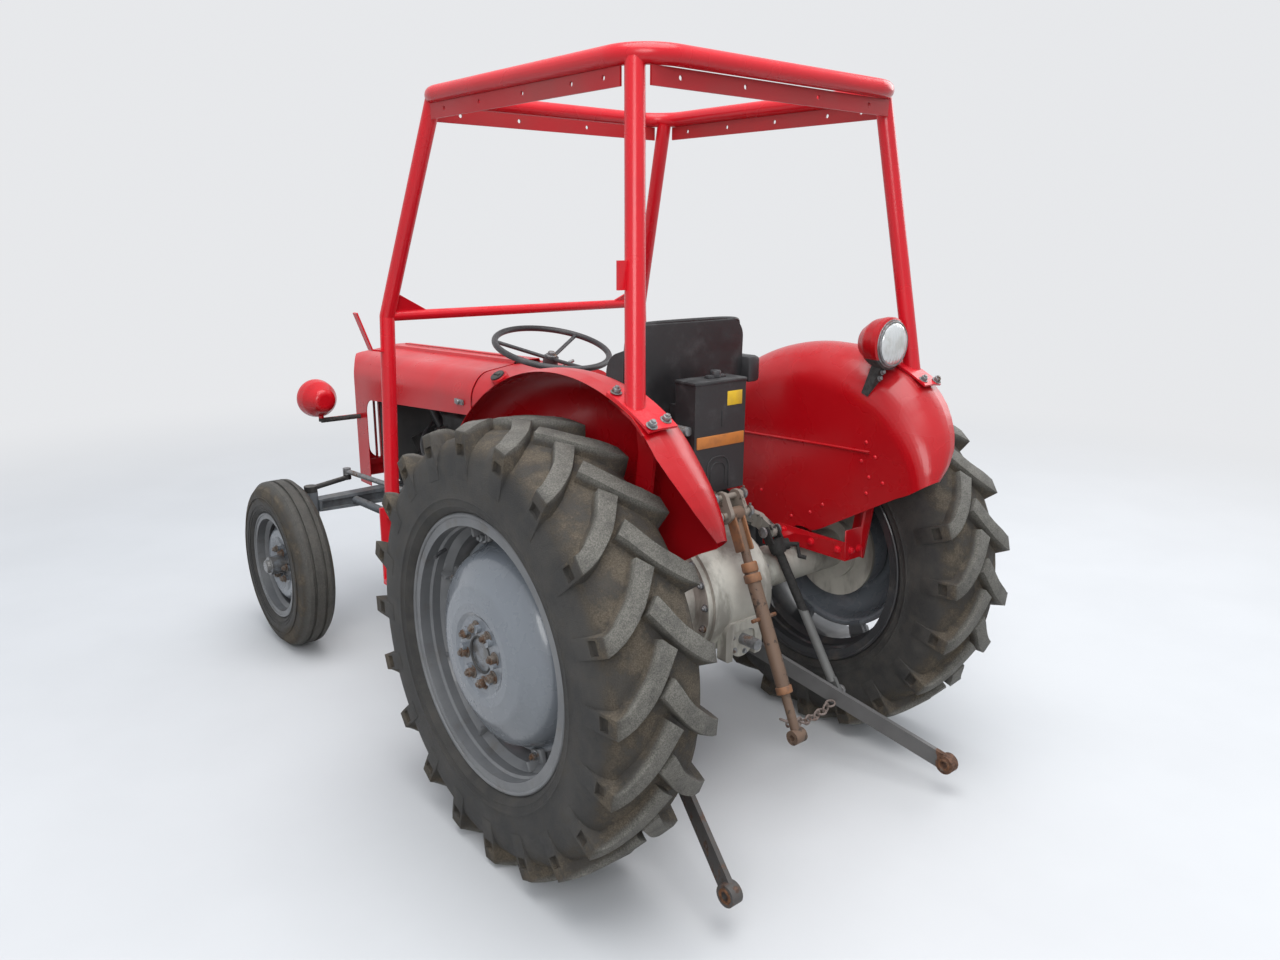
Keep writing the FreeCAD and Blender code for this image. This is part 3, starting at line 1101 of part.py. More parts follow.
def roof_frame():
    """The roof hoop: one tube bent round four corners, with strips under its straight runs."""
    half, front, rear, high = at.roof_half, at.roof_front, at.roof_rear, at.roof_high
    corner = at.roof_corner
    middle = (front + rear) / 2
    parts = []
    reach_x, reach_y = half - corner, (rear - front) / 2 - corner
    for side in (-1, 1):
        parts.append(rod(f"roof_side_{side}", "Y", at.post_radius, (middle - reach_y, middle + reach_y), (half * side, high)))
        for name, y in (("front", front), ("rear", rear)):
            if side > 0:
                parts.append(rod(f"roof_{name}", "X", at.post_radius, (-reach_x, reach_x), (y, high)))
            bend = DOC.addObject("Part::Torus", f"roof_bend_{name}_{side}")
            bind(bend, Radius1=corner, Radius2=at.post_radius)
            bend.Angle3 = 90
            quarter = {("rear", 1): 0, ("rear", -1): 90, ("front", -1): 180, ("front", 1): 270}[(name, side)]
            bend.Placement = FreeCAD.Placement(vector(0, 0, 0), FreeCAD.Rotation(vector(0, 0, 1), quarter))
            inward = y - corner if name == "rear" else y + corner
            move(bend, reach_x * side, inward, high)
            parts.append(bend)
    return fuse("roof_tube", *parts)


def roof_strips():
    half, front, rear = at.roof_half, at.roof_front, at.roof_rear
    top = at.roof_high - at.post_radius - at.seat_gap
    low = top - at.strip_tall
    thick = at.strip_thick
    strips = []
    for side in (-1, 1):
        near, far = (half * side - thick / 2, half * side + thick / 2)
        strips.append(block(f"strip_side_{side}", (near, far), (front + 70, rear - 75), (low, top)))
    for name, y in (("front", front + 14), ("rear", rear - 14)):
        strips.append(block(f"strip_{name}", (-half + 40, half - 40), (y - thick / 2, y + thick / 2), (low, top)))
    return group("roof_strips", *strips)


def hoop_corner(side, end, turn):
    """A place on the hoop's centre line in one of its corners, turn degrees from the side tube."""
    corner, swing = at.roof_corner, math.radians(turn)
    across = at.roof_half - corner + corner * math.cos(swing)
    along = corner - corner * math.sin(swing)
    return across * side, (at.roof_front + along if end == "front" else at.roof_rear - along)


def front_frame(hoop):
    parts = []
    for side in (-1, 1):
        top = hoop_corner(side, "front", 35) + (at.roof_high - 12,)
        bend = (at.bend_across * side, at.bend_y, at.bend_high)
        foot = (at.front_foot_across * side, at.bend_y, at.front_foot_high)
        parts.append(strut(f"front_post_top_{side}", at.post_radius, top, bend))
        parts.append(ball(f"front_post_bend_{side}", at.post_radius, bend))
        parts.append(strut(f"front_post_low_{side}", at.post_radius, bend, foot))
        near, far = sorted((side * 575, side * 625))
        parts.append(block(f"front_strap_{side}", (near, far), (at.bend_y - 4, at.bend_y + 4), (at.strap_low, at.front_foot_high + 40)))
        near, far = sorted((side * 330, side * 625))
        parts.append(block(f"front_foot_{side}", (near, far), (at.bend_y - 4, at.bend_y + 60), (at.strap_low, at.plate_high)))
        gusset = [vector(side * 400, at.bend_y + 4, at.bend_high + 10), vector(side * 545, at.bend_y + 4, at.bend_high + 10),
                  vector(side * 543, at.bend_y + 32, at.bend_high + 84)]
        face = Part.Face(Part.makePolygon(gusset + gusset[:1]))
        parts.append(shaped(f"gusset_{side}", face.extrude(face.normalAt(0, 0) * 6)))
    elbow = (620, at.bend_y, 1330)
    parts.append(flat_bar("strap_low", 6, 28, (572, at.bend_y, 1322), elbow, (0, 1, 0)))
    parts.append(flat_bar("strap_high", 6, 28, elbow, (666, at.bend_y, 1454), (0, 1, 0)))
    parts.append(rod("crossbar", "X", at.crossbar_radius, (-at.bend_across, at.bend_across), (at.bend_y + 4, at.bend_high)))
    return cut("front_frame", fuse("front_whole", *parts), hoop)


def crown_ring(name, low, high, start, turn):
    """Part of a ring that follows the fender's crown between two heights above it."""
    crown, out, lip = at.fender_crown, at.fender_out, at.fender_lip
    ring = turned(name, "X", [
        (out - 90, crown + low), (out - 90, crown + high), (out - 40, crown + high), (out - 4, lip + 1 + high),
        (out - 4, lip + 1 + low), (out - 40, crown + low)], turn)
    ring.Placement = FreeCAD.Placement(vector(0, 0, 0), FreeCAD.Rotation(vector(1, 0, 0), start))
    return move(ring, 0, at.fender_back, at.axle_high + at.fender_up)


def foot_turn():
    """The rear post's foot as an angle round the fender's centre."""
    high = float(at.rear_foot_high - at.axle_high - at.fender_up)
    return math.degrees(math.atan2(high, float(at.rear_foot_y - at.fender_back)))


def rear_post(hoop):
    """A post with a foot plate that follows the fender's crown."""
    top = hoop_corner(1, "rear", 35) + (at.roof_high - 12,)
    foot = (at.rear_foot_across, at.rear_foot_y, at.rear_foot_high - 30)
    turn = foot_turn()
    tube = strut("rear_post_tube", at.post_radius, top, foot)
    below = crown_ring("post_below", -120, 3, turn - 12, 24)
    plate = crown_ring("post_plate", at.seat_gap, 7, turn - 7.2, 14.4)
    return fuse("rear_post", cut("rear_post_open", cut("rear_post_trim", tube, hoop), below), plate)


def work_lamp():
    x, y, z = -at.work_lamp_across, at.work_lamp_y, at.work_lamp_high
    radius, deep = at.work_lamp_radius, at.work_lamp_deep
    bowl = turned("work_lamp_bowl", "Y", [
        (36, 0), (36, radius - 12), (28, radius), (12, radius), (-24, radius - 8, 40), (36 - deep, 40, 30), (36 - deep, 0)])
    move(bowl, x, y, z)
    side = at.fender_in * -1
    bracket = turned("work_lamp_bracket", "X", [
        (side - 34, 658.5), (side - 34, 708), (side - 3, 708), (side - 3, 604)], 2.5)
    bracket.Placement = FreeCAD.Placement(vector(0, 0, 0), FreeCAD.Rotation(vector(1, 0, 0), 67.6))
    move(bracket, 0, at.fender_back, at.axle_high + at.fender_up)
    return fuse("work_lamp_whole", bowl, bracket)


def build():
    tyre = node("rear_tyre_left", rear_tyre(), at.rear_track_half, 0, at.axle_high)
    mirror_node("rear_tyre_right", tyre)
    wheel = node("rear_wheel_left", rear_wheel(), at.rear_track_half, 0, at.axle_high)
    mirror_node("rear_wheel_right", wheel)
    tyre = node("front_tyre_left", front_tyre(), at.front_track_half, -at.wheelbase, at.front_hub_high)
    mirror_node("front_tyre_right", tyre)
    wheel = node("front_wheel_left", front_wheel(), at.front_track_half, -at.wheelbase, at.front_hub_high)
    mirror_node("front_wheel_right", wheel)
    for label, maker in (("knuckle", knuckle), ("drag_link", drag_link), ("drop_arm", drop_arm),
                         ("lower_link", lower_link)):
        left = node(label + "_left", maker())
        mirror_node(label + "_right", left)
    node("lift_rod_left", lift_rod())
    geared = move(fuse("lift_rod_geared", lift_rod(), levelling_box()), 0, AXLE_BACK, 0)
    mirror_node("lift_rod_right", geared)
    node("front_axle", front_axle())
    node("front_support", front_support())
    node("engine", engine())
    node("exhaust", exhaust())
    node("gearbox", gearbox())
    node("centre_housing", centre_housing())
    housing = axle_housing()
    move(housing, 0, 0, at.axle_high)
    node("axle_housings", both_sides("axle_housing_pair", housing))
    node("lift_cover", lift_cover())
    node("top_link_rocker", rocker())
    node("lift_arms", lift_arms())
    node("top_link", top_link())
    node("check_chain", check_chain())
    shaft = rod("pto_bar", "Y", at.pto_radius, (at.pto_face_y - 55, at.pto_face_y + at.pto_out - 55), (0, at.pto_high))
    node("pto_shaft", group("pto_shaft", shaft))
    core = block("radiator_core", (-at.radiator_half, at.radiator_half), (at.radiator_front, at.radiator_rear),
                 (at.support_top, at.radiator_top))
    node("radiator", group("radiator", core))
    node("fuel_tank", fuel_tank())
    node("dash", dash())
    node("steering_column", steering_column())
    node("steering_wheel", steering_wheel())
    node("bonnet", bonnet())
    node("grille", grille())
    node("headlamps", both_sides("headlamp_pair", headlamp()))
    node("fenders", both_sides("fender_pair", fender()))
    node("footplates", both_sides("footplate_pair", footplate()))
    node("seat_shell", seat_shell())
    node("seat_cushions", seat_cushions())
    node("seat_box", seat_box())
    hoop = roof_frame()
    node("roof_hoop", group("roof_hoop", hoop))
    node("roof_strips", roof_strips())
    node("front_frame", front_frame(hoop))
    post = rear_post(hoop)
    tab = block("post_tab", (520, 575), (300, 308), (1583, 1651))
    node("rear_posts", group("rear_post_pair", fuse("rear_post_left", post, tab), mirrored("rear_post_right", post)))
    node("work_lamp", work_lamp())


def check_and_write():
    DOC.recompute()
    for thing in DOC.Objects:
        if "Invalid" in thing.State or "Error" in thing.State:
            raise SystemExit(f"{thing.Label} did not recompute: {thing.State}")
    bad = [thing.Label for thing in NODES if thing.Shape.isNull() or not thing.Shape.isValid()]
    if bad:
        raise SystemExit("no valid shape: " + ", ".join(bad))
    os.makedirs("parts", exist_ok=True)
    for thing in NODES:
        thing.Shape.exportStep(f"parts/{thing.Label}.step")
        print(thing.Label, len(thing.Shape.Solids), round(thing.Shape.Volume))


build()
check_and_write()
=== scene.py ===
import json
import math

import bmesh
import bpy
from mathutils import Matrix, Vector


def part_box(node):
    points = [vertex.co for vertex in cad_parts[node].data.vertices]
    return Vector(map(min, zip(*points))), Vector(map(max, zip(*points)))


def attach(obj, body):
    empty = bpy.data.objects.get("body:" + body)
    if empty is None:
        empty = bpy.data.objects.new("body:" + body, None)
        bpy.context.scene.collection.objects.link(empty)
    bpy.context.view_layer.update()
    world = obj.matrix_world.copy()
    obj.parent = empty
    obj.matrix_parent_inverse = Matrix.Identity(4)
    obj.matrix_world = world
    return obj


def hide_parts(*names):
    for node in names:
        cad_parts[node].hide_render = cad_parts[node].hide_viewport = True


# The looks of an old farm tractor with a four-post safety frame.
# Metres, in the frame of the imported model: rear +Y, left side +X, up +Z.

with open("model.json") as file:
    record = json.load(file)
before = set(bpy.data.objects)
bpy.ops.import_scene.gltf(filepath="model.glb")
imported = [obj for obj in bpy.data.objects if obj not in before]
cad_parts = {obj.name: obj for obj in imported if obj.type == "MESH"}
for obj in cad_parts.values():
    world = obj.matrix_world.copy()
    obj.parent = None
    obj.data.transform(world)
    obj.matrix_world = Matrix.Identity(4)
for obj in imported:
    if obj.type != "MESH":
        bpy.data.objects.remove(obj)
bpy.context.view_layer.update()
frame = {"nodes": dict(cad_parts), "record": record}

# Sizes that several pieces share
REAR_RADIUS, REAR_HALF_TRACK = 0.62, 0.66
FRONT_RADIUS, FRONT_HALF_TRACK, WHEELBASE = 0.352, 0.655, 1.83
SIDES = (("left", 1), ("right", -1))

# How far the rear axle lies behind the frame's origin
AXLE_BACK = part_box("rear_tyre_left")[0].y + REAR_RADIUS

# Where the photograph was taken from
EYE = Vector((1.9982, 2.0814 + AXLE_BACK, 1.7124))
EYE_YAW, EYE_PITCH, EYE_ROLL = (math.radians(turn) for turn in (-130.0786, -14.4238, 0.3304))
EYE_FOCAL_PIXELS, PHOTO_WIDTH, SENSOR = 959.46, 1280, 36.0


# Materials

class Finish:
    """One material's shader with the pattern nodes that feed it."""

    def __init__(self, name, rough=0.5, metal=0.0):
        self.material = bpy.data.materials.new(name)
        self.material.use_nodes = True
        self.tree = self.material.node_tree
        self.shader = self.tree.nodes["Principled BSDF"]
        self.shader.inputs["Roughness"].default_value = rough
        self.shader.inputs["Metallic"].default_value = metal
        self.place = self.tree.nodes.new("ShaderNodeTexCoord").outputs["Object"]
        self.heights = []

    def node(self, kind, **inputs):
        made = self.tree.nodes.new(kind)
        for name, value in inputs.items():
            self.feed(made.inputs[name.replace("_", " ")], value)
        return made

    def feed(self, socket, value):
        if isinstance(value, bpy.types.NodeSocket):
            self.tree.links.new(value, socket)
        else:
            socket.default_value = value

    def noise(self, scale, detail=4.0, rough=0.55, stretch=(1, 1, 1), shift=(0, 0, 0)):
        """Cloudy values from 0 to 1, scale in cycles a metre."""
        mapping = self.node("ShaderNodeMapping", Vector=self.place, Scale=stretch, Location=shift)
        return self.node("ShaderNodeTexNoise", Vector=mapping.outputs[0], Scale=scale, Detail=detail,
                         Roughness=rough).outputs["Fac"]

    def cells(self, scale, shift=(0, 0, 0)):
        """Distance from the nearest of scattered points."""
        mapping = self.node("ShaderNodeMapping", Vector=self.place, Location=shift)
        return self.node("ShaderNodeTexVoronoi", Vector=mapping.outputs[0], Scale=scale).outputs["Distance"]

    def between(self, value, low, high, start=0.0, end=1.0):
        """Share that rises smoothly from start to end while value goes from low to high."""
        made = self.tree.nodes.new("ShaderNodeMapRange")
        made.interpolation_type = "SMOOTHSTEP"
        for name, number in (("From Min", low), ("From Max", high), ("To Min", start), ("To Max", end)):
            made.inputs[name].default_value = number
        self.feed(made.inputs["Value"], value)
        return made.outputs["Result"]

    def maths(self, operation, *values):
        made = self.tree.nodes.new("ShaderNodeMath")
        made.operation = operation
        for socket, value in zip(made.inputs, values):
            self.feed(socket, value)
        return made.outputs[0]

    def times(self, first, second):
        return self.maths("MULTIPLY", first, second)

    def plus(self, first, second):
        return self.maths("ADD", first, second)

    def mix(self, share, first, second):
        made = self.tree.nodes.new("ShaderNodeMix")
        made.data_type = "RGBA"
        self.feed(made.inputs["Factor"], share)
        for socket, value in ((made.inputs[6], first), (made.inputs[7], second)):
            self.feed(socket, value if isinstance(value, bpy.types.NodeSocket) else tuple(value) + (1.0,))
        return made.outputs[2]

    def clouded(self, scale, detail, first, second, low=0.35, high=0.7):
        """Two colours that change over in soft clouds."""
        return self.mix(self.between(self.noise(scale, detail), low, high), first, second)

    def part_of_place(self, axis):
        return self.node("ShaderNodeSeparateXYZ", Vector=self.place).outputs[axis]

    def across(self):
        """Distance from the tractor's middle plane, in metres."""
        return self.maths("ABSOLUTE", self.part_of_place("X"))

    def length(self, vector):
        made = self.tree.nodes.new("ShaderNodeVectorMath")
        made.operation = "LENGTH"
        self.feed(made.inputs[0], vector)
        return made.outputs["Value"]

    def radius(self, centre):
        """Distance from an axis across the tractor through centre."""
        shift = (0, -centre[1], -centre[2])
        mapping = self.node("ShaderNodeMapping", Vector=self.place, Location=shift, Scale=(0, 1, 1))
        return self.length(mapping.outputs[0])

    def facing_up(self, low=0.3, high=0.95):
        """Share of a face that points up, for what settles from above."""
        normal = self.tree.nodes.new("ShaderNodeNewGeometry").outputs["Normal"]
        split = self.node("ShaderNodeSeparateXYZ", Vector=normal)
        return self.between(split.outputs["Z"], low, high)

    def colour(self, value):
        self.feed(self.shader.inputs["Base Color"], value)

    def rough(self, value):
        self.feed(self.shader.inputs["Roughness"], value)

    def metal(self, value):
        self.feed(self.shader.inputs["Metallic"], value)

    def bump(self, value, distance, strength=1.0):
        """Raise the surface by value times distance metres, on top of earlier bumps."""
        made = self.tree.nodes.new("ShaderNodeBump")
        made.inputs["Strength"].default_value = strength
        made.inputs["Distance"].default_value = distance
        self.feed(made.inputs["Height"], value)
        if self.heights:
            self.tree.links.new(self.heights[-1], made.inputs["Normal"])
        self.heights.append(made.outputs[0])
        self.tree.links.new(made.outputs[0], self.shader.inputs["Normal"])


def darker(colour, share):
    return tuple(share * part for part in colour)


def red_enamel(name, fresh, faded, rough, shift):
    """Sprayed red paint with faded clouds, settled dust, rubbed spots and small chips."""
    finish = Finish(name)
    clouds = finish.noise(3.0, 5, shift=shift)
    base = finish.mix(finish.between(clouds, 0.40, 0.70), fresh, faded)
    grime = finish.times(finish.between(finish.noise(4.0, 6, 0.6, shift=shift), 0.60, 0.85), 0.14)
    base = finish.mix(grime, base, (0.19, 0.035, 0.03))
    dust = finish.times(finish.facing_up(), finish.between(finish.noise(14.0, 6), 0.35, 0.75, 0.0, 0.12))
    base = finish.mix(dust, base, (0.48, 0.22, 0.22))
    chips = finish.between(finish.cells(9.0, shift=shift), 0.030, 0.024)
    chips = finish.times(chips, finish.between(finish.noise(2.6, 3, shift=shift), 0.60, 0.62))
    base = finish.mix(chips, base, (0.10, 0.06, 0.055))
    finish.colour(base)
    finish.rough(finish.plus(finish.between(finish.noise(5.0, 3), 0.3, 0.7, rough - 0.04, rough + 0.08),
                             finish.times(dust, 0.5)))
    finish.bump(finish.noise(6.0, 2), 0.0012, 0.2)
    return finish.material


def wheel_paint(name, centre, dome_radius):
    """Glossy grey paint on the dished middle, duller and dirtier on the rim, with painted shade that darkens the
    inner side almost to black.
    """
    finish = Finish(name)
    out = finish.radius(centre)
    rim = finish.between(out, dome_radius - 0.004, dome_radius + 0.010)
    dome = finish.clouded(4.0, 4, (0.182, 0.200, 0.224), (0.198, 0.215, 0.238))
    base = finish.mix(rim, dome, finish.clouded(6.0, 5, (0.120, 0.124, 0.130), (0.165, 0.168, 0.172)))
    # Painted shade: the wheel's inner side, towards the tractor's middle, is darkened almost to black.
    inner_side_shade = finish.between(finish.across(), 0.690, 0.655)
    base = finish.mix(finish.times(inner_side_shade, 0.92), base, (0.020, 0.020, 0.022))
    grime = finish.between(finish.noise(30.0, 6), 0.35, 0.6, 0.2, 0.8)
    base = finish.mix(finish.times(finish.between(out, 0.072, 0.040), grime), base, (0.075, 0.066, 0.056))
    dirt = finish.between(finish.noise(13.0, 8, 0.65), 0.52, 0.74)
    dirt = finish.times(dirt, finish.between(rim, 0, 1, 0.03, 0.6))
    base = finish.mix(dirt, base, (0.095, 0.082, 0.066))
    scratches = finish.between(finish.noise(38.0, 4, 0.8, stretch=(1, 5, 1)), 0.70, 0.74)
    finish.colour(finish.mix(finish.times(scratches, rim), base, (0.07, 0.06, 0.05)))
    finish.shader.inputs["Coat Weight"].default_value = 0.35
    dulled = finish.between(finish.noise(17.0, 6), 0.3, 0.7, 0.0, 0.14)
    finish.rough(finish.plus(finish.between(rim, 0, 1, 0.20, 0.42), dulled))
    finish.bump(finish.noise(240.0, 3), 0.00012, 0.4)
    finish.bump(dirt, 0.0004, 0.5)
    return finish.material


def tyre_rubber(name, centre, tread, pale=0.95):
    """Black rubber: gritty pale worn treads, brown dirt between them and dark dusty flanks."""
    finish = Finish(name, 0.85)
    out = finish.radius(centre)
    grit = finish.between(finish.noise(260.0, 4, 0.8), 0.36, 0.66)
    base = finish.clouded(8.0, 6, (0.020, 0.019, 0.018), (0.042, 0.039, 0.035))
    dust = finish.times(finish.between(finish.noise(22.0, 9, 0.7), 0.44, 0.70), 0.34)
    base = finish.mix(dust, base, (0.100, 0.090, 0.076))
    mud = finish.times(finish.between(out, tread - 0.090, tread - 0.045),
                       finish.between(out, tread - 0.006, tread - 0.024))
    mud = finish.times(mud, finish.between(finish.noise(13.0, 9, 0.7), 0.40, 0.62, 0.15, 0.9))
    base = finish.mix(mud, base, finish.mix(grit, (0.075, 0.060, 0.042), (0.150, 0.122, 0.088)))
    worn = finish.times(finish.between(out, tread - 0.024, tread - 0.004),
                        finish.between(finish.noise(20.0, 8, 0.7), 0.30, 0.60, 0.5 * pale, pale))
    base = finish.mix(worn, base, finish.mix(grit, (0.088, 0.084, 0.072), (0.215, 0.205, 0.178)))
    finish.colour(base)
    finish.rough(finish.between(finish.plus(dust, mud), 0.0, 0.6, 0.62, 0.94))
    finish.bump(grit, 0.0010, 0.7)
    finish.bump(finish.noise(45.0, 5, 0.6), 0.0018, 0.5)
    return finish.material


def cast_housing(name, pale, dark, oil, share):
    """Rough castings under old paint, with oil that has run down and gathered dust."""
    finish = Finish(name)
    base = finish.clouded(7.0, 6, pale, dark)
    runs = finish.noise(9.0, 8, 0.6, stretch=(1, 1, 0.35))
    stain = finish.times(finish.between(runs, 0.46, 0.62), share)
    base = finish.mix(stain, base, oil)
    dust = finish.times(finish.facing_up(0.4), finish.between(finish.noise(20.0, 6), 0.4, 0.7, 0.1, 0.5))
    base = finish.mix(dust, base, (0.20, 0.185, 0.16))
    finish.colour(base)
    finish.rough(finish.between(stain, 0.0, 1.0, 0.68, 0.34))
    finish.bump(finish.noise(170.0, 4, 0.6), 0.0006, 0.6)
    finish.bump(finish.noise(28.0, 3), 0.0012, 0.4)
    return finish.material


def worn_steel(name, steel, rust, share, rough=0.45):
    """Bare or once painted steel with patches of rust."""
    finish = Finish(name)
    patches = finish.between(finish.noise(19.0, 9, 0.7), 0.62 - 0.34 * share, 0.74 - 0.30 * share)
    bright = finish.clouded(45.0, 4, steel, darker(steel, 0.62))
    finish.colour(finish.mix(patches, bright, finish.clouded(70.0, 6, rust, darker(rust, 0.45), high=0.65)))
    finish.metal(finish.between(patches, 0.0, 1.0, 0.65, 0.0))
    finish.rough(finish.between(patches, 0.0, 1.0, rough, 0.88))
    finish.bump(finish.noise(160.0, 6, 0.7), 0.0006, 0.6)
    finish.bump(patches, 0.0004, 0.5)
    return finish.material


def black_goods(name, base, worn, rough, grain):
    """Black vinyl, plastic or lacquer with a fine grain and greyed rubbing."""
    finish = Finish(name)
    rubbed = finish.between(finish.noise(12.0, 7, 0.65), 0.5, 0.72)
    finish.colour(finish.mix(rubbed, base, worn))
    finish.rough(finish.between(finish.noise(24.0, 5), 0.3, 0.7, rough - 0.07, rough + 0.12))
    finish.bump(finish.cells(grain), 0.00035, 0.5)
    finish.bump(finish.noise(30.0, 3), 0.0010, 0.3)
    return finish.material


RED, RED_FADED = (0.56, 0.0040, 0.0110), (0.48, 0.0080, 0.0140)
LAMP_BLACK = (0.055, 0.054, 0.052)

# The finish of each material slot
FINISHES = {
    "tyre_rubber": tyre_rubber("rubber", (0, 0, REAR_RADIUS), REAR_RADIUS),
    "wheel_grey": wheel_paint("wheel_paint", (0, 0, 0), 0.01),
    "axle_grey": cast_housing("axle_paint", (0.15, 0.165, 0.18), (0.11, 0.12, 0.13), (0.035, 0.032, 0.03), 0.6),
    "dark_iron": cast_housing("oily_iron", (0.045, 0.044, 0.043), (0.025, 0.025, 0.026), (0.012, 0.011, 0.01), 0.8),
    "housing_grey": cast_housing("housing_paint", (0.56, 0.545, 0.48), (0.42, 0.405, 0.36), (0.07, 0.058, 0.045),
                                 0.58),
    "grey_steel": worn_steel("link_steel", (0.28, 0.285, 0.29), (0.16, 0.085, 0.045), 0.35),
    "rust_brown": worn_steel("rusty_steel", (0.20, 0.16, 0.13), (0.17, 0.075, 0.035), 0.95, 0.6),
    "hood_red": red_enamel("bonnet_enamel", RED, RED_FADED, 0.30, (0, 0, 0)),
    "frame_red": red_enamel("frame_enamel", (0.64, 0.0060, 0.0160), (0.57, 0.0080, 0.0180), 0.24, (4, 1, 2)),
    "frame_strip": red_enamel("strip_enamel", (0.42, 0.010, 0.015), (0.34, 0.026, 0.026), 0.42, (2, 5, 1)),
    "dash_red": red_enamel("dash_enamel", RED, RED_FADED, 0.34, (7, 2, 3)),
    "wheel_rim_black": black_goods("hand_rim_black", (0.032, 0.032, 0.034), (0.075, 0.075, 0.078), 0.42, 900),
    "seat_black": black_goods("seat_shell_black", (0.020, 0.020, 0.021), (0.045, 0.045, 0.046), 0.40, 500),
    "seat_vinyl": black_goods("seat_vinyl", (0.020, 0.020, 0.022), (0.050, 0.050, 0.052), 0.42, 700),
    "box_black": black_goods("box_plastic", (0.024, 0.024, 0.025), (0.055, 0.055, 0.056), 0.50, 600),
    "lamp_red": red_enamel("lamp_enamel", RED, RED_FADED, 0.26, (9, 3, 5)),
}


def plain_paint(name, base, worn, rough):
    """One colour of paint or print with faint clouds."""
    finish = Finish(name)
    finish.colour(finish.clouded(30.0, 6, base, worn, 0.4, 0.75))
    finish.rough(finish.between(finish.noise(24.0, 5), 0.3, 0.7, rough - 0.05, rough + 0.12))
    finish.bump(finish.noise(200.0, 3), 0.0002, 0.4)
    return finish.material


def fluted_glass():
    """Pale glass over a bright bowl, with upright flutes."""
    finish = Finish("fluted_glass", 0.12, 0.35)
    finish.colour(finish.clouded(20.0, 4, (0.66, 0.68, 0.68), (0.50, 0.50, 0.47), 0.4))
    waves = finish.node("ShaderNodeTexWave", Vector=finish.place, Scale=24.0, Distortion=0.4)
    finish.bump(waves.outputs["Fac"], 0.0012, 0.6)
    finish.shader.inputs["Coat Weight"].default_value = 0.6
    return finish.material


def two_finish_paint(name, paint, other, share, rough=0.42):
    """Old paint that gives way to bare or rusty metal where share rises, share built from the finish."""
    finish = Finish(name)
    base = finish.clouded(9.0, 6, paint, darker(paint, 0.80))
    patches = finish.between(finish.plus(share(finish), finish.noise(30.0, 8, 0.7)), 0.74, 0.82)
    finish.colour(finish.mix(patches, base, finish.clouded(90.0, 6, other, darker(other, 0.45), high=0.65)))
    finish.rough(finish.between(patches, 0.0, 1.0, rough, 0.82))
    finish.bump(finish.noise(160.0, 6, 0.7), 0.0005, 0.6)
    finish.bump(patches, 0.0004, 0.5)
    return finish.material


def even(share):
    """The same share all over."""
    return lambda finish: share


def along(axis, start, end, low=0.0):
    """A share that rises from low to 0.8 between two places on an axis."""
    return lambda finish: finish.between(finish.part_of_place(axis), start, end, low, 0.8)


# Nodes whose finish isn't their slot's
REAR_AXLE, FRONT_AXLE = (0, AXLE_BACK, REAR_RADIUS), (0, AXLE_BACK - WHEELBASE, FRONT_RADIUS)
NODE_FINISHES = {
    "lower_link_right": two_finish_paint("link_paint", (0.135, 0.132, 0.130), (0.15, 0.075, 0.045),
                                         along("Y", 0.60 + AXLE_BACK, 0.63 + AXLE_BACK, 0.08)),
    "lower_link_left": two_finish_paint("old_link_paint", (0.075, 0.068, 0.064), (0.12, 0.07, 0.05),
                                        even(0.22), 0.6),
    "top_link_rocker": two_finish_paint("rocker_paint", (0.25, 0.215, 0.18), (0.10, 0.075, 0.055), even(0.17)),
    "lift_arms": two_finish_paint("arm_paint", (0.30, 0.285, 0.25), (0.035, 0.032, 0.030), even(0.20)),
    "work_lamp": two_finish_paint("work_lamp_paint", (0.46, 0.0030, 0.0075), LAMP_BLACK,
                                  along("Z", 1.352, 1.348), 0.26),
    "headlamps": two_finish_paint("headlamp_paint", RED, LAMP_BLACK, along("Z", 0.930, 0.926), 0.24),
    "top_link": two_finish_paint("top_link_paint", (0.155, 0.098, 0.066), (0.075, 0.055, 0.044), even(0.20), 0.6),
    "check_chain": two_finish_paint("chain_paint", (0.21, 0.165, 0.145), (0.12, 0.065, 0.045), even(0.2), 0.6),
}
for side in ("left", "right"):
    NODE_FINISHES[f"rear_wheel_{side}"] = wheel_paint(f"rear_wheel_paint_{side}", REAR_AXLE, 0.292)
    NODE_FINISHES[f"front_wheel_{side}"] = wheel_paint(f"front_wheel_paint_{side}", FRONT_AXLE, 0.150)
    NODE_FINISHES[f"rear_tyre_{side}"] = tyre_rubber(f"rear_rubber_{side}", REAR_AXLE, REAR_RADIUS)
    NODE_FINISHES[f"front_tyre_{side}"] = tyre_rubber(f"front_rubber_{side}", FRONT_AXLE, FRONT_RADIUS, 0.34)
    NODE_FINISHES[f"lift_rod_{side}"] = two_finish_paint(
        f"rod_paint_{side}", (0.155, 0.155, 0.150), (0.022, 0.021, 0.020), along("Z", 0.50, 0.53, 0.06))

# Finishes of pieces that are modelled below
RUSTY_NUTS = two_finish_paint("rusty_nuts", (0.145, 0.120, 0.100), (0.125, 0.070, 0.042), even(0.26), 0.5)
FENDER_RED = red_enamel("fender_enamel", (0.44, 0.0026, 0.0070), (0.40, 0.0050, 0.0095), 0.26, (3, 8, 1))
LAMP_GLASS = fluted_glass()
LABEL_YELLOW = plain_paint("label_yellow", (0.80, 0.52, 0.03), (0.66, 0.42, 0.05), 0.45)
BAND_ORANGE = plain_paint("band_orange", (0.56, 0.20, 0.045), (0.42, 0.15, 0.04), 0.40)
ORANGE_PRIMER = plain_paint("orange_primer", (0.26, 0.120, 0.055), (0.13, 0.075, 0.050), 0.60)
PALE_PAINT = plain_paint("pale_paint", (0.62, 0.62, 0.58), (0.50, 0.50, 0.46), 0.5)
SLOT_OF = {entry["node"]: entry["material_slot"] for entry in frame["record"]["subparts"]}


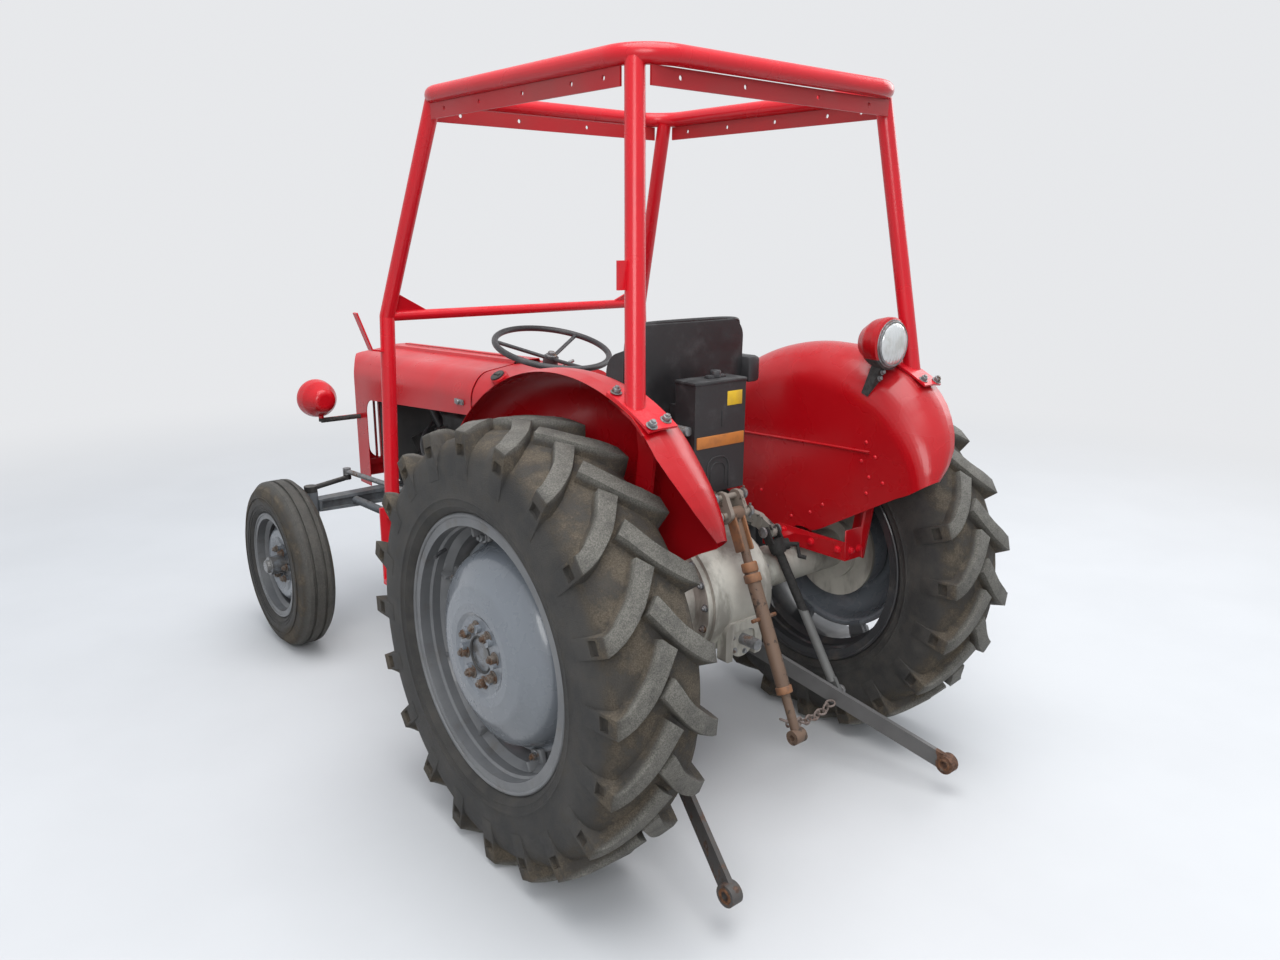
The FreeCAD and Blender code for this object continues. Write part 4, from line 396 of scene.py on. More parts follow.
def dress_frame():
    """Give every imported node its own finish, or that of its material slot."""
    for node, slot in SLOT_OF.items():
        shown = frame["nodes"][node]
        shown.data.materials.clear()
        shown.data.materials.append(NODE_FINISHES.get(node, FINISHES[slot]))


# Modelling helpers

def spot(x, y, z):
    """A place in metres from the ground under the rear axle's middle."""
    return Vector((x, y + AXLE_BACK, z))


def only(*pieces):
    """Make these the whole selection, the first of them active."""
    bpy.ops.object.select_all(action="DESELECT")
    for piece in pieces:
        piece.select_set(True)
    bpy.context.view_layer.objects.active = pieces[0]


def applied(piece, kind, **settings):
    """Add one modifier, set it and apply it."""
    only(piece)
    modifier = piece.modifiers.new(kind.lower(), kind)
    for name, value in settings.items():
        setattr(modifier, name, value)
    bpy.ops.object.modifier_apply(modifier=modifier.name)
    return piece


def joined(*pieces):
    """Make one piece of several, with its place in its mesh."""
    only(*pieces)
    if len(pieces) > 1:
        bpy.ops.object.join()
    bpy.ops.object.transform_apply(location=True, rotation=True, scale=True)
    return bpy.context.object


def twin_of(model):
    """A copy of a piece with a mesh of its own."""
    twin = model.copy()
    twin.data = model.data.copy()
    bpy.context.scene.collection.objects.link(twin)
    return twin


def merged_copy(node):
    """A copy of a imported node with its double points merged."""
    copy = twin_of(frame["nodes"][node])
    only(copy)
    bpy.ops.object.mode_set(mode="EDIT")
    bpy.ops.mesh.select_all(action="SELECT")
    bpy.ops.mesh.remove_doubles(threshold=0.00002)
    bpy.ops.mesh.select_all(action="DESELECT")
    bpy.ops.object.mode_set(mode="OBJECT")
    return copy


def pointing(ahead):
    """The turn that points a piece's Z ahead."""
    return Vector(ahead).to_track_quat("Z", "Y").to_matrix().to_4x4()


def settled(piece, name, slot, finish=None, smooth=35, body="chassis"):
    """Put a piece's place in its mesh, and give it its name, finish and body."""
    only(piece)
    bpy.ops.object.transform_apply(location=True, rotation=True, scale=True)
    if smooth:
        bpy.ops.object.shade_smooth_by_angle(angle=math.radians(smooth))
    piece.name = name
    piece.data.materials.clear()
    piece.data.materials.append(finish or FINISHES[slot])
    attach(piece, body)
    return piece


def drum(radius, length, place, along, sides=32, bevel=0.0):
    """A round piece between place and place + along * length, its edges bevelled."""
    along = Vector(along).normalized()
    bpy.ops.mesh.primitive_cylinder_add(vertices=sides, radius=radius, depth=length)
    piece = bpy.context.object
    if bevel:
        applied(piece, "BEVEL", width=bevel, segments=2, limit_method="ANGLE")
    piece.data.transform(Matrix.Translation(Vector(place) + along * length / 2) @ pointing(along))
    return piece


def hoop(radius, thick, place, along, sides=64):
    """A round ring about an axis."""
    bpy.ops.mesh.primitive_torus_add(major_radius=radius, minor_radius=thick, major_segments=sides,
                                     minor_segments=10)
    piece = bpy.context.object
    piece.data.transform(Matrix.Translation(place) @ pointing(along))
    return piece


def slab(size, place, bevel=0.002, turn=None):
    """A plate or box with bevelled edges, its middle at place."""
    bpy.ops.mesh.primitive_cube_add(size=1)
    piece = bpy.context.object
    piece.data.transform(Matrix.Diagonal(Vector(size).to_4d()))
    if bevel:
        applied(piece, "BEVEL", width=bevel, segments=2)
    piece.data.transform(Matrix.Translation(place) @ (turn or Matrix.Identity(4)))
    return piece


def pipe(points, radius, sides=6):
    """A bent round bar that follows smooth points."""
    data = bpy.data.curves.new("bar", "CURVE")
    data.dimensions = "3D"
    data.bevel_depth = radius
    data.bevel_resolution = sides // 2
    data.resolution_u = 8
    data.use_fill_caps = True
    line = data.splines.new("NURBS")
    line.points.add(len(points) - 1)
    for knot, place in zip(line.points, points):
        knot.co = (*place, 1)
    line.use_endpoint_u = True
    line.order_u = 3
    return meshed(data)


def meshed(line):
    """A piece made of a curve."""
    piece = bpy.data.objects.new(line.name, line)
    bpy.context.scene.collection.objects.link(piece)
    only(piece)
    bpy.ops.object.convert(target="MESH")
    return bpy.context.object


def bolt_head(radius, high, stud=False, round_top=False):
    """A chamfered hexagon head on its washer, or a button head, at the origin and pointing up."""
    if round_top:
        bpy.ops.mesh.primitive_uv_sphere_add(segments=16, ring_count=8, radius=radius)
        head = bpy.context.object
        head.data.transform(Matrix.Diagonal((1, 1, high / radius, 1)))
        return head
    thin = radius * 0.2
    parts = [drum(radius * 1.34, thin, (0, 0, 0), (0, 0, 1), 20, thin * 0.3),
             drum(radius, high, (0, 0, thin), (0, 0, 1), 6, radius * 0.13)]
    if stud:
        parts.append(drum(radius * 0.52, high + radius * 0.5, (0, 0, thin), (0, 0, 1), 12, radius * 0.08))
    return joined(*parts)


def stamped(model, spots):
    """Copies of a model at places, each pointing its own way, joined as one piece."""
    copies = []
    for place, ahead in spots:
        twin = twin_of(model)
        twin.data.transform(Matrix.Translation(place) @ pointing(ahead))
        copies.append(twin)
    bpy.data.objects.remove(model)
    return joined(*copies)


def bolted(name, slot, radius, high, places, finish=None, body="chassis", **shape):
    """Bolt heads of one size at all their places."""
    settled(stamped(bolt_head(radius, high, **shape), places), name, slot, finish, body=body)


def both_sides(places, ahead=(1, 0, 0)):
    """Places on the left and their mirror images, each pointing its own way."""
    return [(spot(x * s, y, z), (ahead[0] * s, ahead[1], ahead[2])) for s in (1, -1) for x, y, z in places]


def circle_x(x, y, z, radius, count, ahead, start=0.0):
    """Places on a circle about an axis across the tractor."""
    return [(spot(x, y + radius * math.cos(start + turn), z + radius * math.sin(start + turn)), (ahead, 0, 0))
            for turn in (math.tau * index / count for index in range(count))]


# Wheels

# Rear tyre in millimetres: half width of the carcass, radius of the tips, and the lugs on each half
TYRE_HALF, TYRE_TIP, LUG_COUNT = 157.5, 620, 20

# Tread lug from the middle outwards: share of the tyre's half width, lag in degrees behind the middle,
# and in millimetres its slant, half width and drop below the tip
LUG_LINE = (
    (-0.06, 0.0, 19, 16.5, 0), (0.04, 2.0, 18.5, 15.5, 0), (0.18, 5.0, 17, 15, 0), (0.32, 7.6, 15.5, 16, 0),
    (0.46, 9.6, 14, 17.5, 0.5), (0.60, 11.3, 12, 19, 1.5), (0.74, 12.9, 8, 20.5, 4), (0.87, 14.0, 3, 22, 8.5),
    (0.978, 14.6, 0, 23.5, 14), (0.990, 14.6, 0, 24.5, 40), (0.998, 14.6, 0, 25.5, 84), (1.005, 14.6, 0, 26, 140))


def rim_direction(degrees):
    """The direction from a wheel's axis, in degrees up from the rear."""
    turn = math.radians(degrees)
    return Vector((0, math.cos(turn), math.sin(turn)))


def tread_lug(s):
    """One lug of the rear tread at the top of the tyre, with the pocket in its shoulder."""
    rows = len(LUG_LINE) + 2
    bpy.ops.mesh.primitive_grid_add(x_subdivisions=rows - 1, y_subdivisions=3, size=1)
    lug = bpy.context.object
    places = sorted({round(vertex.co.x, 4) for vertex in lug.data.vertices})
    lines = sorted({round(vertex.co.y, 4) for vertex in lug.data.vertices})
    for vertex in lug.data.vertices:
        row, column = places.index(round(vertex.co.x, 4)), lines.index(round(vertex.co.y, 4))
        share, lag, slant, half, drop = LUG_LINE[min(max(row - 1, 0), rows - 3)]
        up = rim_direction(90 - lag)
        ahead = Vector((0, -up.z, up.y))
        reach = (Vector((s * slant, 0, 0)) + ahead * half) * (1 if column < 2 else -1)
        place = Vector((s * share * TYRE_HALF, 0, 0)) + up * (TYRE_TIP - drop) + reach
        if column in (0, 3) or row in (0, rows - 1):
            # The foot spreads and sinks into the carcass, least on the shoulder's side
            sunk = 50 - 46 * min(max((drop - 14) / 126, 0), 1)
            inward = 33 * min(max((share - 0.55) / 0.42, 0), 1)
            place += reach.normalized() * 8 * (column in (0, 3)) - up * sunk - Vector((s * inward, 0, 0))
        vertex.co = place / 1000
    only(lug)
    bpy.ops.object.mode_set(mode="EDIT")
    bpy.ops.mesh.select_all(action="SELECT")
    bpy.ops.mesh.region_to_loop()
    bpy.ops.mesh.fill()
    bpy.ops.mesh.select_all(action="SELECT")
    bpy.ops.mesh.normals_make_consistent(inside=False)
    bpy.ops.mesh.select_all(action="DESELECT")
    bpy.ops.object.mode_set(mode="OBJECT")
    aim = Vector((s * 0.994 * TYRE_HALF, 0, 0)) + rim_direction(75.4) * 558
    pocket = min(lug.data.polygons, key=lambda face: (face.center * 1000 - aim).length)
    pocket.select = True
    bpy.ops.object.mode_set(mode="EDIT")
    bpy.ops.mesh.select_mode(type="FACE")
    bpy.ops.mesh.inset(thickness=0.0070)
    bpy.ops.mesh.extrude_region_move(TRANSFORM_OT_translate={"value": (-s * 0.013, 0, 0)})
    bpy.ops.object.mode_set(mode="OBJECT")
    applied(lug, "BEVEL", width=0.0042, segments=2, angle_limit=math.radians(34))
    return lug


# Section of the rear tyre in metres, across and out from its axis: from bead to crown outside, then inside
TYRE_OUTSIDE = (
    (0.128, 0.358), (0.128, 0.381), (0.1345, 0.386), (0.1490, 0.398), (0.1535, 0.4035), (0.1545, 0.4045),
    (0.1535, 0.4075), (0.1555, 0.420), (0.1562, 0.4225), (0.1585, 0.4245), (0.1590, 0.4270), (0.1572, 0.4300),
    (0.1578, 0.448), (0.1578, 0.466), (0.1570, 0.490), (0.1545, 0.515), (0.1490, 0.537), (0.1400, 0.556),
    (0.1260, 0.571), (0.1040, 0.5815), (0.0700, 0.5870), (0.0350, 0.5895), (0.0, 0.5900))
TYRE_INSIDE = ((0.115, 0.362), (0.115, 0.384), (0.13, 0.405), (0.138, 0.45), (0.13, 0.51), (0.1, 0.55), (0.0, 0.562))


def rear_tyre(side, s, body):
    """A turned carcass with rim bands, and the lugs copied round it."""
    ring = [*TYRE_OUTSIDE, *((-x, r) for x, r in reversed(TYRE_OUTSIDE[:-1])),
            *((-x, r) for x, r in TYRE_INSIDE), *reversed(TYRE_INSIDE[:-1])]
    line = bpy.data.curves.new("tyre_section", "CURVE")
    line.dimensions = "3D"
    run = line.splines.new("POLY")
    run.points.add(len(ring) - 1)
    for knot, (x, r) in zip(run.points, ring):
        knot.co = (x, 0, r, 1)
    run.use_cyclic_u = True
    parts = [meshed(line)]
    bpy.ops.object.mode_set(mode="EDIT")
    bpy.ops.mesh.select_all(action="SELECT")
    bpy.ops.mesh.spin(steps=120, angle=math.tau, center=(0, 0, 0), axis=(1, 0, 0))
    bpy.ops.mesh.select_all(action="SELECT")
    bpy.ops.mesh.remove_doubles(threshold=0.0001)
    bpy.ops.mesh.normals_make_consistent(inside=False)
    bpy.ops.object.mode_set(mode="OBJECT")
    for face in (1, -1):
        lug = tread_lug(face)
        for index in range(LUG_COUNT):
            twin = twin_of(lug)
            share = (index + (0 if face > 0 else 0.5)) / LUG_COUNT
            twin.data.transform(Matrix.Rotation(math.tau * share - math.pi / 2, 4, "X"))
            parts.append(twin)
        bpy.data.objects.remove(lug)
    tyre = joined(*parts)
    tyre.data.transform(Matrix.Translation(spot(REAR_HALF_TRACK * s, 0, REAR_RADIUS)))
    settled(tyre, f"rear_tyre_tread_{side}", "tyre_rubber", NODE_FINISHES[f"rear_tyre_{side}"], 40, body)
    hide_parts(f"rear_tyre_{side}")


def rear_wheel_fittings(side, s):
    body, paint = f"wheel_rear_{side}", NODE_FINISHES[f"rear_wheel_{side}"]

    def over(out, y=0.0, z=REAR_RADIUS):
        return spot((REAR_HALF_TRACK + out) * s, y, z)

    def bolt_ring(out, radius, start):
        return circle_x((REAR_HALF_TRACK + out) * s, 0, REAR_RADIUS, radius, 8, s, start)

    nuts = bolt_ring(0.140, 0.0762, 0.2)
    bolted(f"rear_wheel_nuts_{side}", "rust_brown", 0.0138, 0.015, nuts, RUSTY_NUTS, body, stud=True)
    clamps = []
    for index in range(8):
        turn = math.tau * (index + 0.5) / 8
        up = Vector((0, math.cos(turn), math.sin(turn)))
        lean = Matrix.Rotation(turn - math.pi / 2, 4, "X")
        clamps.append(slab((0.016, 0.055, 0.052), over(0.040) + up * 0.313, 0.006, lean))
        clamps.append(slab((0.045, 0.012, 0.030), over(0.058) + up * 0.326, 0.004, lean))
    settled(joined(*clamps), f"rim_clamps_{side}", "wheel_grey", body=body)
    bolts = bolt_ring(0.048, 0.305, math.tau / 16)
    bolted(f"rim_clamp_bolts_{side}", "grey_steel", 0.0125, 0.012, bolts, body=body, stud=True)
    settled(hoop(0.0495, 0.0035, over(0.139), (1, 0, 0), 48), f"pilot_ring_{side}", "dark_iron", body=body)
    lips = [hoop(0.3785, 0.0065, over(out), (1, 0, 0), 96) for out in (0.1335, -0.1335)]
    settled(joined(*lips), f"rim_lips_{side}", "wheel_grey", paint, body=body)
    valve = pipe([over(0.10, -0.24, 0.845), over(0.125, -0.235, 0.842), over(0.142, -0.225, 0.833)], 0.0055)
    settled(valve, f"rear_valve_{side}", "wheel_rim_black", body=body)
    rear_tyre(side, s, body)


def front_wheel_fittings(side, s):
    body, middle = f"wheel_front_{side}", FRONT_HALF_TRACK * s
    hub = circle_x(middle + 0.032 * s, -WHEELBASE, FRONT_RADIUS, 0.066, 6, s)
    bolted(f"front_wheel_nuts_{side}", "rust_brown", 0.0125, 0.012, hub, RUSTY_NUTS, body, stud=True)

    def rings(sizes, thick):
        return joined(*(hoop(radius, thick, spot(middle + out * face, -WHEELBASE, FRONT_RADIUS), (1, 0, 0), 80)
                        for face in (1, -1) for radius, out in sizes))

    settled(rings(((0.2195, 0.061),), 0.005), f"front_rim_lips_{side}", "wheel_grey",
            NODE_FINISHES[f"front_wheel_{side}"], body=body)
    settled(rings(((0.243, 0.0755), (0.256, 0.0775), (0.290, 0.0782)), 0.0020), f"front_sidewall_bands_{side}",
            "tyre_rubber", NODE_FINISHES[f"front_tyre_{side}"], body=body)


# Lamps

def lamp_glass(name, place, ahead, radius):
    """A bulged, fluted glass in its bright ring."""
    bpy.ops.mesh.primitive_uv_sphere_add(segments=64, ring_count=32, radius=radius)
    glass = bpy.context.object
    only(glass)
    bpy.ops.object.mode_set(mode="EDIT")
    bpy.ops.mesh.select_all(action="SELECT")
    bpy.ops.mesh.bisect(plane_co=(0, 0, 0), plane_no=(0, 0, 1), clear_inner=True, use_fill=True)
    bpy.ops.object.mode_set(mode="OBJECT")
    bulge = Matrix.Diagonal((1, 1, 0.26, 1))
    glass.data.transform(Matrix.Translation(place) @ pointing(ahead) @ bulge)
    settled(glass, name + "_glass", "grey_steel", LAMP_GLASS)
    rings = joined(hoop(radius + 0.001, 0.0045, place, ahead),
                   hoop(radius + 0.006, 0.003, place - Vector(ahead) * 0.005, ahead))
    settled(rings, name + "_ring", "grey_steel")


def lamps():
    for side, s in SIDES:
        lamp_glass(f"headlamp_{side}", spot(0.420 * s, -2.003, 1.010), (0, -1, 0), 0.066)
        screw = [(spot(0.420 * s, -2.001, 0.935), (0, -1, 0))]
        bolted(f"headlamp_screw_{side}", "grey_steel", 0.006, 0.006, screw)
    lamp_glass("work_lamp", spot(-0.440, 0.360, 1.395), (0, 1, 0), 0.064)
    feet = [(spot(-0.421, y, z), (0, 1, 0.2)) for y, z in ((0.331, 1.290), (0.340, 1.310))]
    bolted("work_lamp_bolts", "grey_steel", 0.007, 0.008, feet)


# Fenders

# The middle of the fenders' crown, in metres from the ground under the rear axle
CROWN_Y, CROWN_Z = 0.073, 0.673

# The fender in the solids, in millimetres: radii of its crown and of what stays as it is, and how far its
# inner sheet and its outer edge lie from the tractor's middle
CROWN_RADIUS, STILL_RADIUS, INNER_HALF, OUTER_HALF = 692, 440, 403, 592

# Its drawn-in tail: degrees up from the rear, and how far the outer edge lies from the middle and the centre
TAIL_LINE = ((33, 446, 562), (35, 462, 572), (38, 499, 598), (42, 535, 622), (46, 559, 639), (50, 577, 652),
             (54, 590, 665), (58, 592, 678), (62, 592, 688), (64, 592, 692))


def tail_edge(turn):
    """How far the tail's outer edge lies from the middle and from the crown's centre at an angle."""
    low = TAIL_LINE[0]
    for high in TAIL_LINE[1:]:
        if turn <= high[0]:
            share = max(0.0, (turn - low[0]) / (high[0] - low[0]))
            return low[1] + share * (high[1] - low[1]), low[2] + share * (high[2] - low[2])
        low = high
    return low[1], low[2]


def fender_shells():
    """The fenders with their tails drawn in and rounded as the old pressed shells are."""
    shell = merged_copy("fenders")
    centre = spot(0, CROWN_Y, CROWN_Z)
    top = TAIL_LINE[-1][0]
    for face in shell.data.polygons:
        ends = [shell.data.vertices[index].co - centre for index in face.vertices]
        face.select = any(math.hypot(end.y, end.z) > STILL_RADIUS / 1000
                          and math.atan2(end.z, end.y) < math.radians(top + 2) for end in ends)
    bpy.ops.object.mode_set(mode="EDIT")
    bpy.ops.mesh.subdivide(number_cuts=3)
    bpy.ops.mesh.quads_convert_to_tris()
    bpy.ops.object.mode_set(mode="OBJECT")
    for vertex in shell.data.vertices:
        out = (vertex.co - centre) * 1000
        far = math.hypot(out.y, out.z)
        turn = math.degrees(math.atan2(out.z, out.y))
        if far < STILL_RADIUS or turn > top:
            continue
        half, radius = tail_edge(turn)
        near_edge = min(max((far - 540) / 60, 0), 1)
        across = abs(out.x)
        across -= max(across - INNER_HALF, 0) * near_edge * (OUTER_HALF - half) / (OUTER_HALF - INNER_HALF)
        drawn_in = (CROWN_RADIUS - radius) * min((far - STILL_RADIUS) / (CROWN_RADIUS - STILL_RADIUS), 1)
        shorter = (far - drawn_in) / far / 1000
        place = centre + out * shorter
        vertex.co = (math.copysign(across / 1000, out.x), place.y, place.z)
    settled(shell, "fender_shells", SLOT_OF["fenders"], FENDER_RED, 30)
    applied(shell, "WEIGHTED_NORMAL", keep_sharp=True)
    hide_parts("fenders")


# Fasteners of the frame, fenders and castings

def crown_spot(x, degrees, above):
    """A place over a fender's crown, degrees up from the rear, and its outward direction."""
    out = rim_direction(degrees)
    return spot(x, CROWN_Y, CROWN_Z) + out * (0.698 + above), out


def fasteners():
    plates = [crown_spot(x * s, degrees, 0.0065) for s in (1, -1)
              for x, degrees in ((0.521, 60.6), (0.521, 70.9), (0.574, 59.6), (0.572, 71.6))]
    bolted("post_plate_bolts", "grey_steel", 0.011, 0.010, plates, stud=True)
    shared = [(0.4025, y, z) for y, z in (
        (0.298, 1.029), (0.348, 1.050), (0.312, 1.091), (-0.116, 0.850), (0.155, 0.856), (0.025, 0.788))]
    rivets = both_sides(shared, (-1, 0, 0))
    rivets += [(spot(-0.4025, y, z), (1, 0, 0)) for y, z in (
        (0.330, 0.983), (0.324, 0.930), (0.382, 0.974), (0.105, 0.819))]
    bolted("fender_rivets", "frame_red", 0.006, 0.0035, rivets, round_top=True)
    rail = [(0.3985, y, z) for y, z in ((0.0, 0.705), (0.0, 0.735), (0.230, 0.722), (0.12, 0.722))]
    rail = both_sides(rail, (-1, 0, 0)) + both_sides([(x, 0.2625, 0.722) for x in (0.425, 0.465)], (0, 1, 0))
    bolted("fender_rail_bolts", "frame_red", 0.010, 0.008, rail)
    flange = [place for s in (1, -1) for place in circle_x(0.136 * s, 0, REAR_RADIUS, 0.174, 16, s, 0.1)]
    bolted("axle_flange_bolts", "grey_steel", 0.0095, 0.009, flange, stud=True)
    backing = [place for s in (1, -1) for place in circle_x(0.662 * s, 0, REAR_RADIUS, 0.095, 8, -s)]
    bolted("backing_plate_bolts", "dark_iron", 0.009, 0.008, backing)
    cover = [(spot(x, y, 0.9045), (0, 0, 1)) for x in (-0.098, 0.098) for y in (-0.15, -0.08, -0.01, 0.045)]
    bolted("lift_cover_bolts", "grey_steel", 0.009, 0.008, cover)
    neck = [(spot(0.045 * math.cos(turn), 0.1985, 0.512 + 0.045 * math.sin(turn)), (0, 1, 0))
            for turn in (math.tau * index / 6 + 0.3 for index in range(6))]
    bolted("pto_flange_bolts", "grey_steel", 0.007, 0.006, neck)
    case = both_sides([(0.145, y, z) for y in (-0.895, -0.862) for z in (0.46, 0.55, 0.64, 0.73)])
    bolted("gearbox_bolts", "dark_iron", 0.009, 0.008, case)
    feet = both_sides([(x, -0.955, 0.62) for x in (0.588, 0.612)], (0, 1, 0))
    feet += both_sides([(x, -0.925, 0.5205) for x in (0.36, 0.42, 0.50, 0.58)], (0, 0, 1))
    bolted("front_frame_bolts", "grey_steel", 0.010, 0.009, feet, stud=True)


def drilled_strips():
    """The roof frame's flat strips with their bolt holes."""
    strips = merged_copy("roof_strips")
    holes = [(spot(0.40 * s, y, 2.069), (s, 0, 0)) for y in (-0.62, -0.42, -0.20, 0.02, 0.15) for s in (1, -1)]
    for x in (-0.36, -0.14, 0.14, 0.36):
        holes += [(spot(x, 0.20, 2.069), (0, 1, 0)), (spot(x, -0.70, 2.069), (0, -1, 0))]
    drills = joined(*(drum(0.0065, 0.12, place, ahead, 20) for place, ahead in holes))
    applied(strips, "BOOLEAN", operation="DIFFERENCE", object=drills, solver="EXACT")
    bpy.data.objects.remove(drills)
    settled(strips, "drilled_roof_strips", SLOT_OF["roof_strips"], smooth=30)
    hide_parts("roof_strips")


# Driver's place

def seat_cushions():
    """Two upholstered pads, blown up as cloth round their filling."""
    pads = []
    for outline in (((-0.478, 1.034), (-0.478, 1.092), (-0.215, 1.084), (-0.215, 1.024)),
                    ((-0.168, 1.122), (-0.143, 1.412), (-0.090, 1.412), (-0.100, 1.122))):
        bpy.ops.mesh.primitive_cube_add(size=1)
        pad = bpy.context.object
        corners = dict(zip(((False, False), (False, True), (True, True), (True, False)), outline))
        for vertex in pad.data.vertices:
            at_rear, on_top = vertex.co.y > 0, vertex.co.z > 0
            vertex.co = spot(math.copysign(0.203, vertex.co.x), *corners[at_rear, on_top])
        applied(pad, "BEVEL", width=0.022, segments=4)
        applied(pad, "REMESH", mode="VOXEL", voxel_size=0.0075)
        blow_up(pad, 0.011)
        applied(pad, "SMOOTH", factor=0.5, iterations=3)
        applied(pad, "SUBSURF", levels=1, render_levels=1)
        pads.append(pad)
    cushions = settled(joined(*pads), "seat_pads", "seat_vinyl", smooth=60)
    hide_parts("seat_cushions")


def blow_up(pad, cap):
    """Press a pad's cover outwards, with no point moved further than cap."""
    scene = bpy.context.scene
    rest = [vertex.co.copy() for vertex in pad.data.vertices]
    cloth = pad.modifiers.new("cover", "CLOTH")
    cloth.settings.use_pressure = True
    cloth.settings.uniform_pressure_force = 4
    cloth.settings.effector_weights.gravity = 0
    cloth.settings.quality = 4
    for step in range(1, 21):
        scene.frame_set(step)
    swollen = pad.evaluated_get(bpy.context.evaluated_depsgraph_get()).data
    moved = [vertex.co.copy() for vertex in swollen.vertices]
    pad.modifiers.remove(cloth)
    for vertex, start, end in zip(pad.data.vertices, rest, moved):
        run = end - start
        vertex.co = start + run * min(1.0, cap / max(run.length, 1e-6))
    scene.frame_set(1)


def seat_trim():
    """The seat shell's rolled edge and ribs, its damper, and the stub of an armrest."""
    half = [spot(0.233, y, z) for y, z in ((-0.104, 1.02), (-0.096, 1.20), (-0.082, 1.44))]
    half.append(spot(0.205, -0.075, 1.456))
    mirrored = [Vector((-place.x, place.y, place.z)) for place in reversed(half)]
    rolls = [pipe([*half, spot(0, -0.072, 1.458), *mirrored], 0.0065)]
    for z in (1.375, 1.352):
        y = -0.0695 + (z - 1.455) * 0.028
        rolls.append(pipe([spot(x, y, z) for x in (-0.222, -0.07, 0.07, 0.222)], 0.0035))
    settled(joined(*rolls), "seat_back_lip", "seat_black")
    rods = [drum(0.014, 0.14, spot(x, -0.075, 1.150), (0, 1, 0), 20, 0.002) for x in (0.115, 0.150)]
    settled(joined(*rods), "seat_damper", "grey_steel")
    settled(slab((0.055, 0.10, 0.085), spot(-0.262, -0.085, 1.292), 0.014), "armrest_stub", "wheel_rim_black")
    settled(slab((0.05, 0.03, 0.012), spot(-0.243, -0.085, 1.26), 0.003), "armrest_bracket", "seat_black")


def seat_box_trim():
    """The lid, knobs and pressed arch of the box behind the seat, with its blank label and orange band."""
    settled(slab((0.218, 0.094, 0.012), spot(0, 0.035, 1.2885), 0.005), "seat_box_lid", "box_black")
    knob = joined(drum(0.017, 0.024, spot(-0.016, 0.035, 1.294), (0, 0, 1), 24, 0.005),
                  slab((0.075, 0.020, 0.012), spot(-0.016, 0.035, 1.298), 0.004))
    settled(knob, "seat_box_knob", "wheel_rim_black")
    face = 0.0785
    label = slab((0.062, 0.0012, 0.043), spot(-0.058, face, 1.236), 0.0004)
    settled(label, "blank_label", "box_black", LABEL_YELLOW)
    band = slab((0.196, 0.005, 0.036), spot(-0.002, face, 1.112), 0.0018)
    settled(band, "orange_band", "box_black", BAND_ORANGE)
    settled(slab((0.007, 0.004, 0.050), spot(-0.008, face, 1.178), 0.0015), "seat_box_slot", "dark_iron")
    foot = spot(0.006, face, 1.008)
    half = [(0.046, -0.046), (0.046, -0.008), (0.046, 0.027), (0.030, 0.052)]
    line = [Vector((x, 0, z)) for x, z in (*half, (0, 0.056), *((-x, z) for x, z in reversed(half)))]
    arches = [pipe([foot + step * share for step in line], thick) for share, thick in ((1, 0.003), (0.66, 0.0025))]
    settled(joined(*arches), "seat_box_arch", "box_black")
    side = joined(drum(0.017, 0.020, spot(-0.104, 0.033, 1.000), (-1, 0, 0), 20, 0.004),
                  drum(0.009, 0.030, spot(-0.104, 0.033, 1.000), (-1, 0, 0), 16, 0.002))
    settled(side, "seat_box_side_knob", "dark_iron")


def dash_fittings():
    """Gauges and switches on the sloped panel, the hand wheel's nut, the filler cap and the throttle lever."""
    ahead = Vector((0, 0.99, 0.14)).normalized()
    rims, faces, needles = [], [], []
    for x in (-0.12, 0.12):
        place = spot(x, -0.7305, 1.150)
        rims.append(hoop(0.036, 0.005, place, ahead, 40))
        faces.append(drum(0.036, 0.003, place - ahead * 0.001, ahead, 40, 0.001))
        needles.append(slab((0.003, 0.002, 0.0288), place + ahead * 0.004 + Vector((0, 0, 0.0108)), 0.0005))
    settled(joined(*rims), "gauge_rims", "grey_steel")
    settled(joined(*faces), "gauge_faces", "wheel_rim_black")
    settled(joined(*needles), "gauge_needles", "grey_steel", PALE_PAINT)
    knobs = [drum(0.009, 0.016, spot(x, -0.732, 1.085), ahead, 20, 0.002) for x in (-0.14, -0.10, 0.10, 0.14)]
    settled(joined(*knobs), "dash_switches", "wheel_rim_black")
    axis = Vector((0, math.sin(math.radians(15)), math.cos(math.radians(15))))
    hub = spot(0, -0.790, 1.312) - axis * 0.037
    nut = joined(drum(0.021, 0.008, hub, axis, 28, 0.002),
                 drum(0.014, 0.013, hub + axis * 0.006, axis, 6, 0.002))
    settled(nut, "hand_wheel_nut", "grey_steel", body="steering_wheel")
    lean = Matrix.Rotation(math.radians(33), 4, "Y")
    cap = joined(drum(0.026, 0.006, spot(0.213, -0.825, 1.2215), (0.545, 0, 0.84), 32, 0.002),
                 slab((0.010, 0.034, 0.006), spot(0.2155, -0.825, 1.2285), 0.002, lean))
    settled(cap, "filler_cap", "dark_iron")
    arm = pipe([spot(x, -0.800, z) for x, z in ((-0.030, 1.228), (-0.050, 1.240), (-0.085, 1.250))], 0.0038)
    lever = joined(arm, drum(0.0060, 0.022, spot(-0.080, -0.800, 1.248), (-0.96, 0, 0.27), 16, 0.002))
    settled(lever, "throttle_lever", "grey_steel")


# Hitch

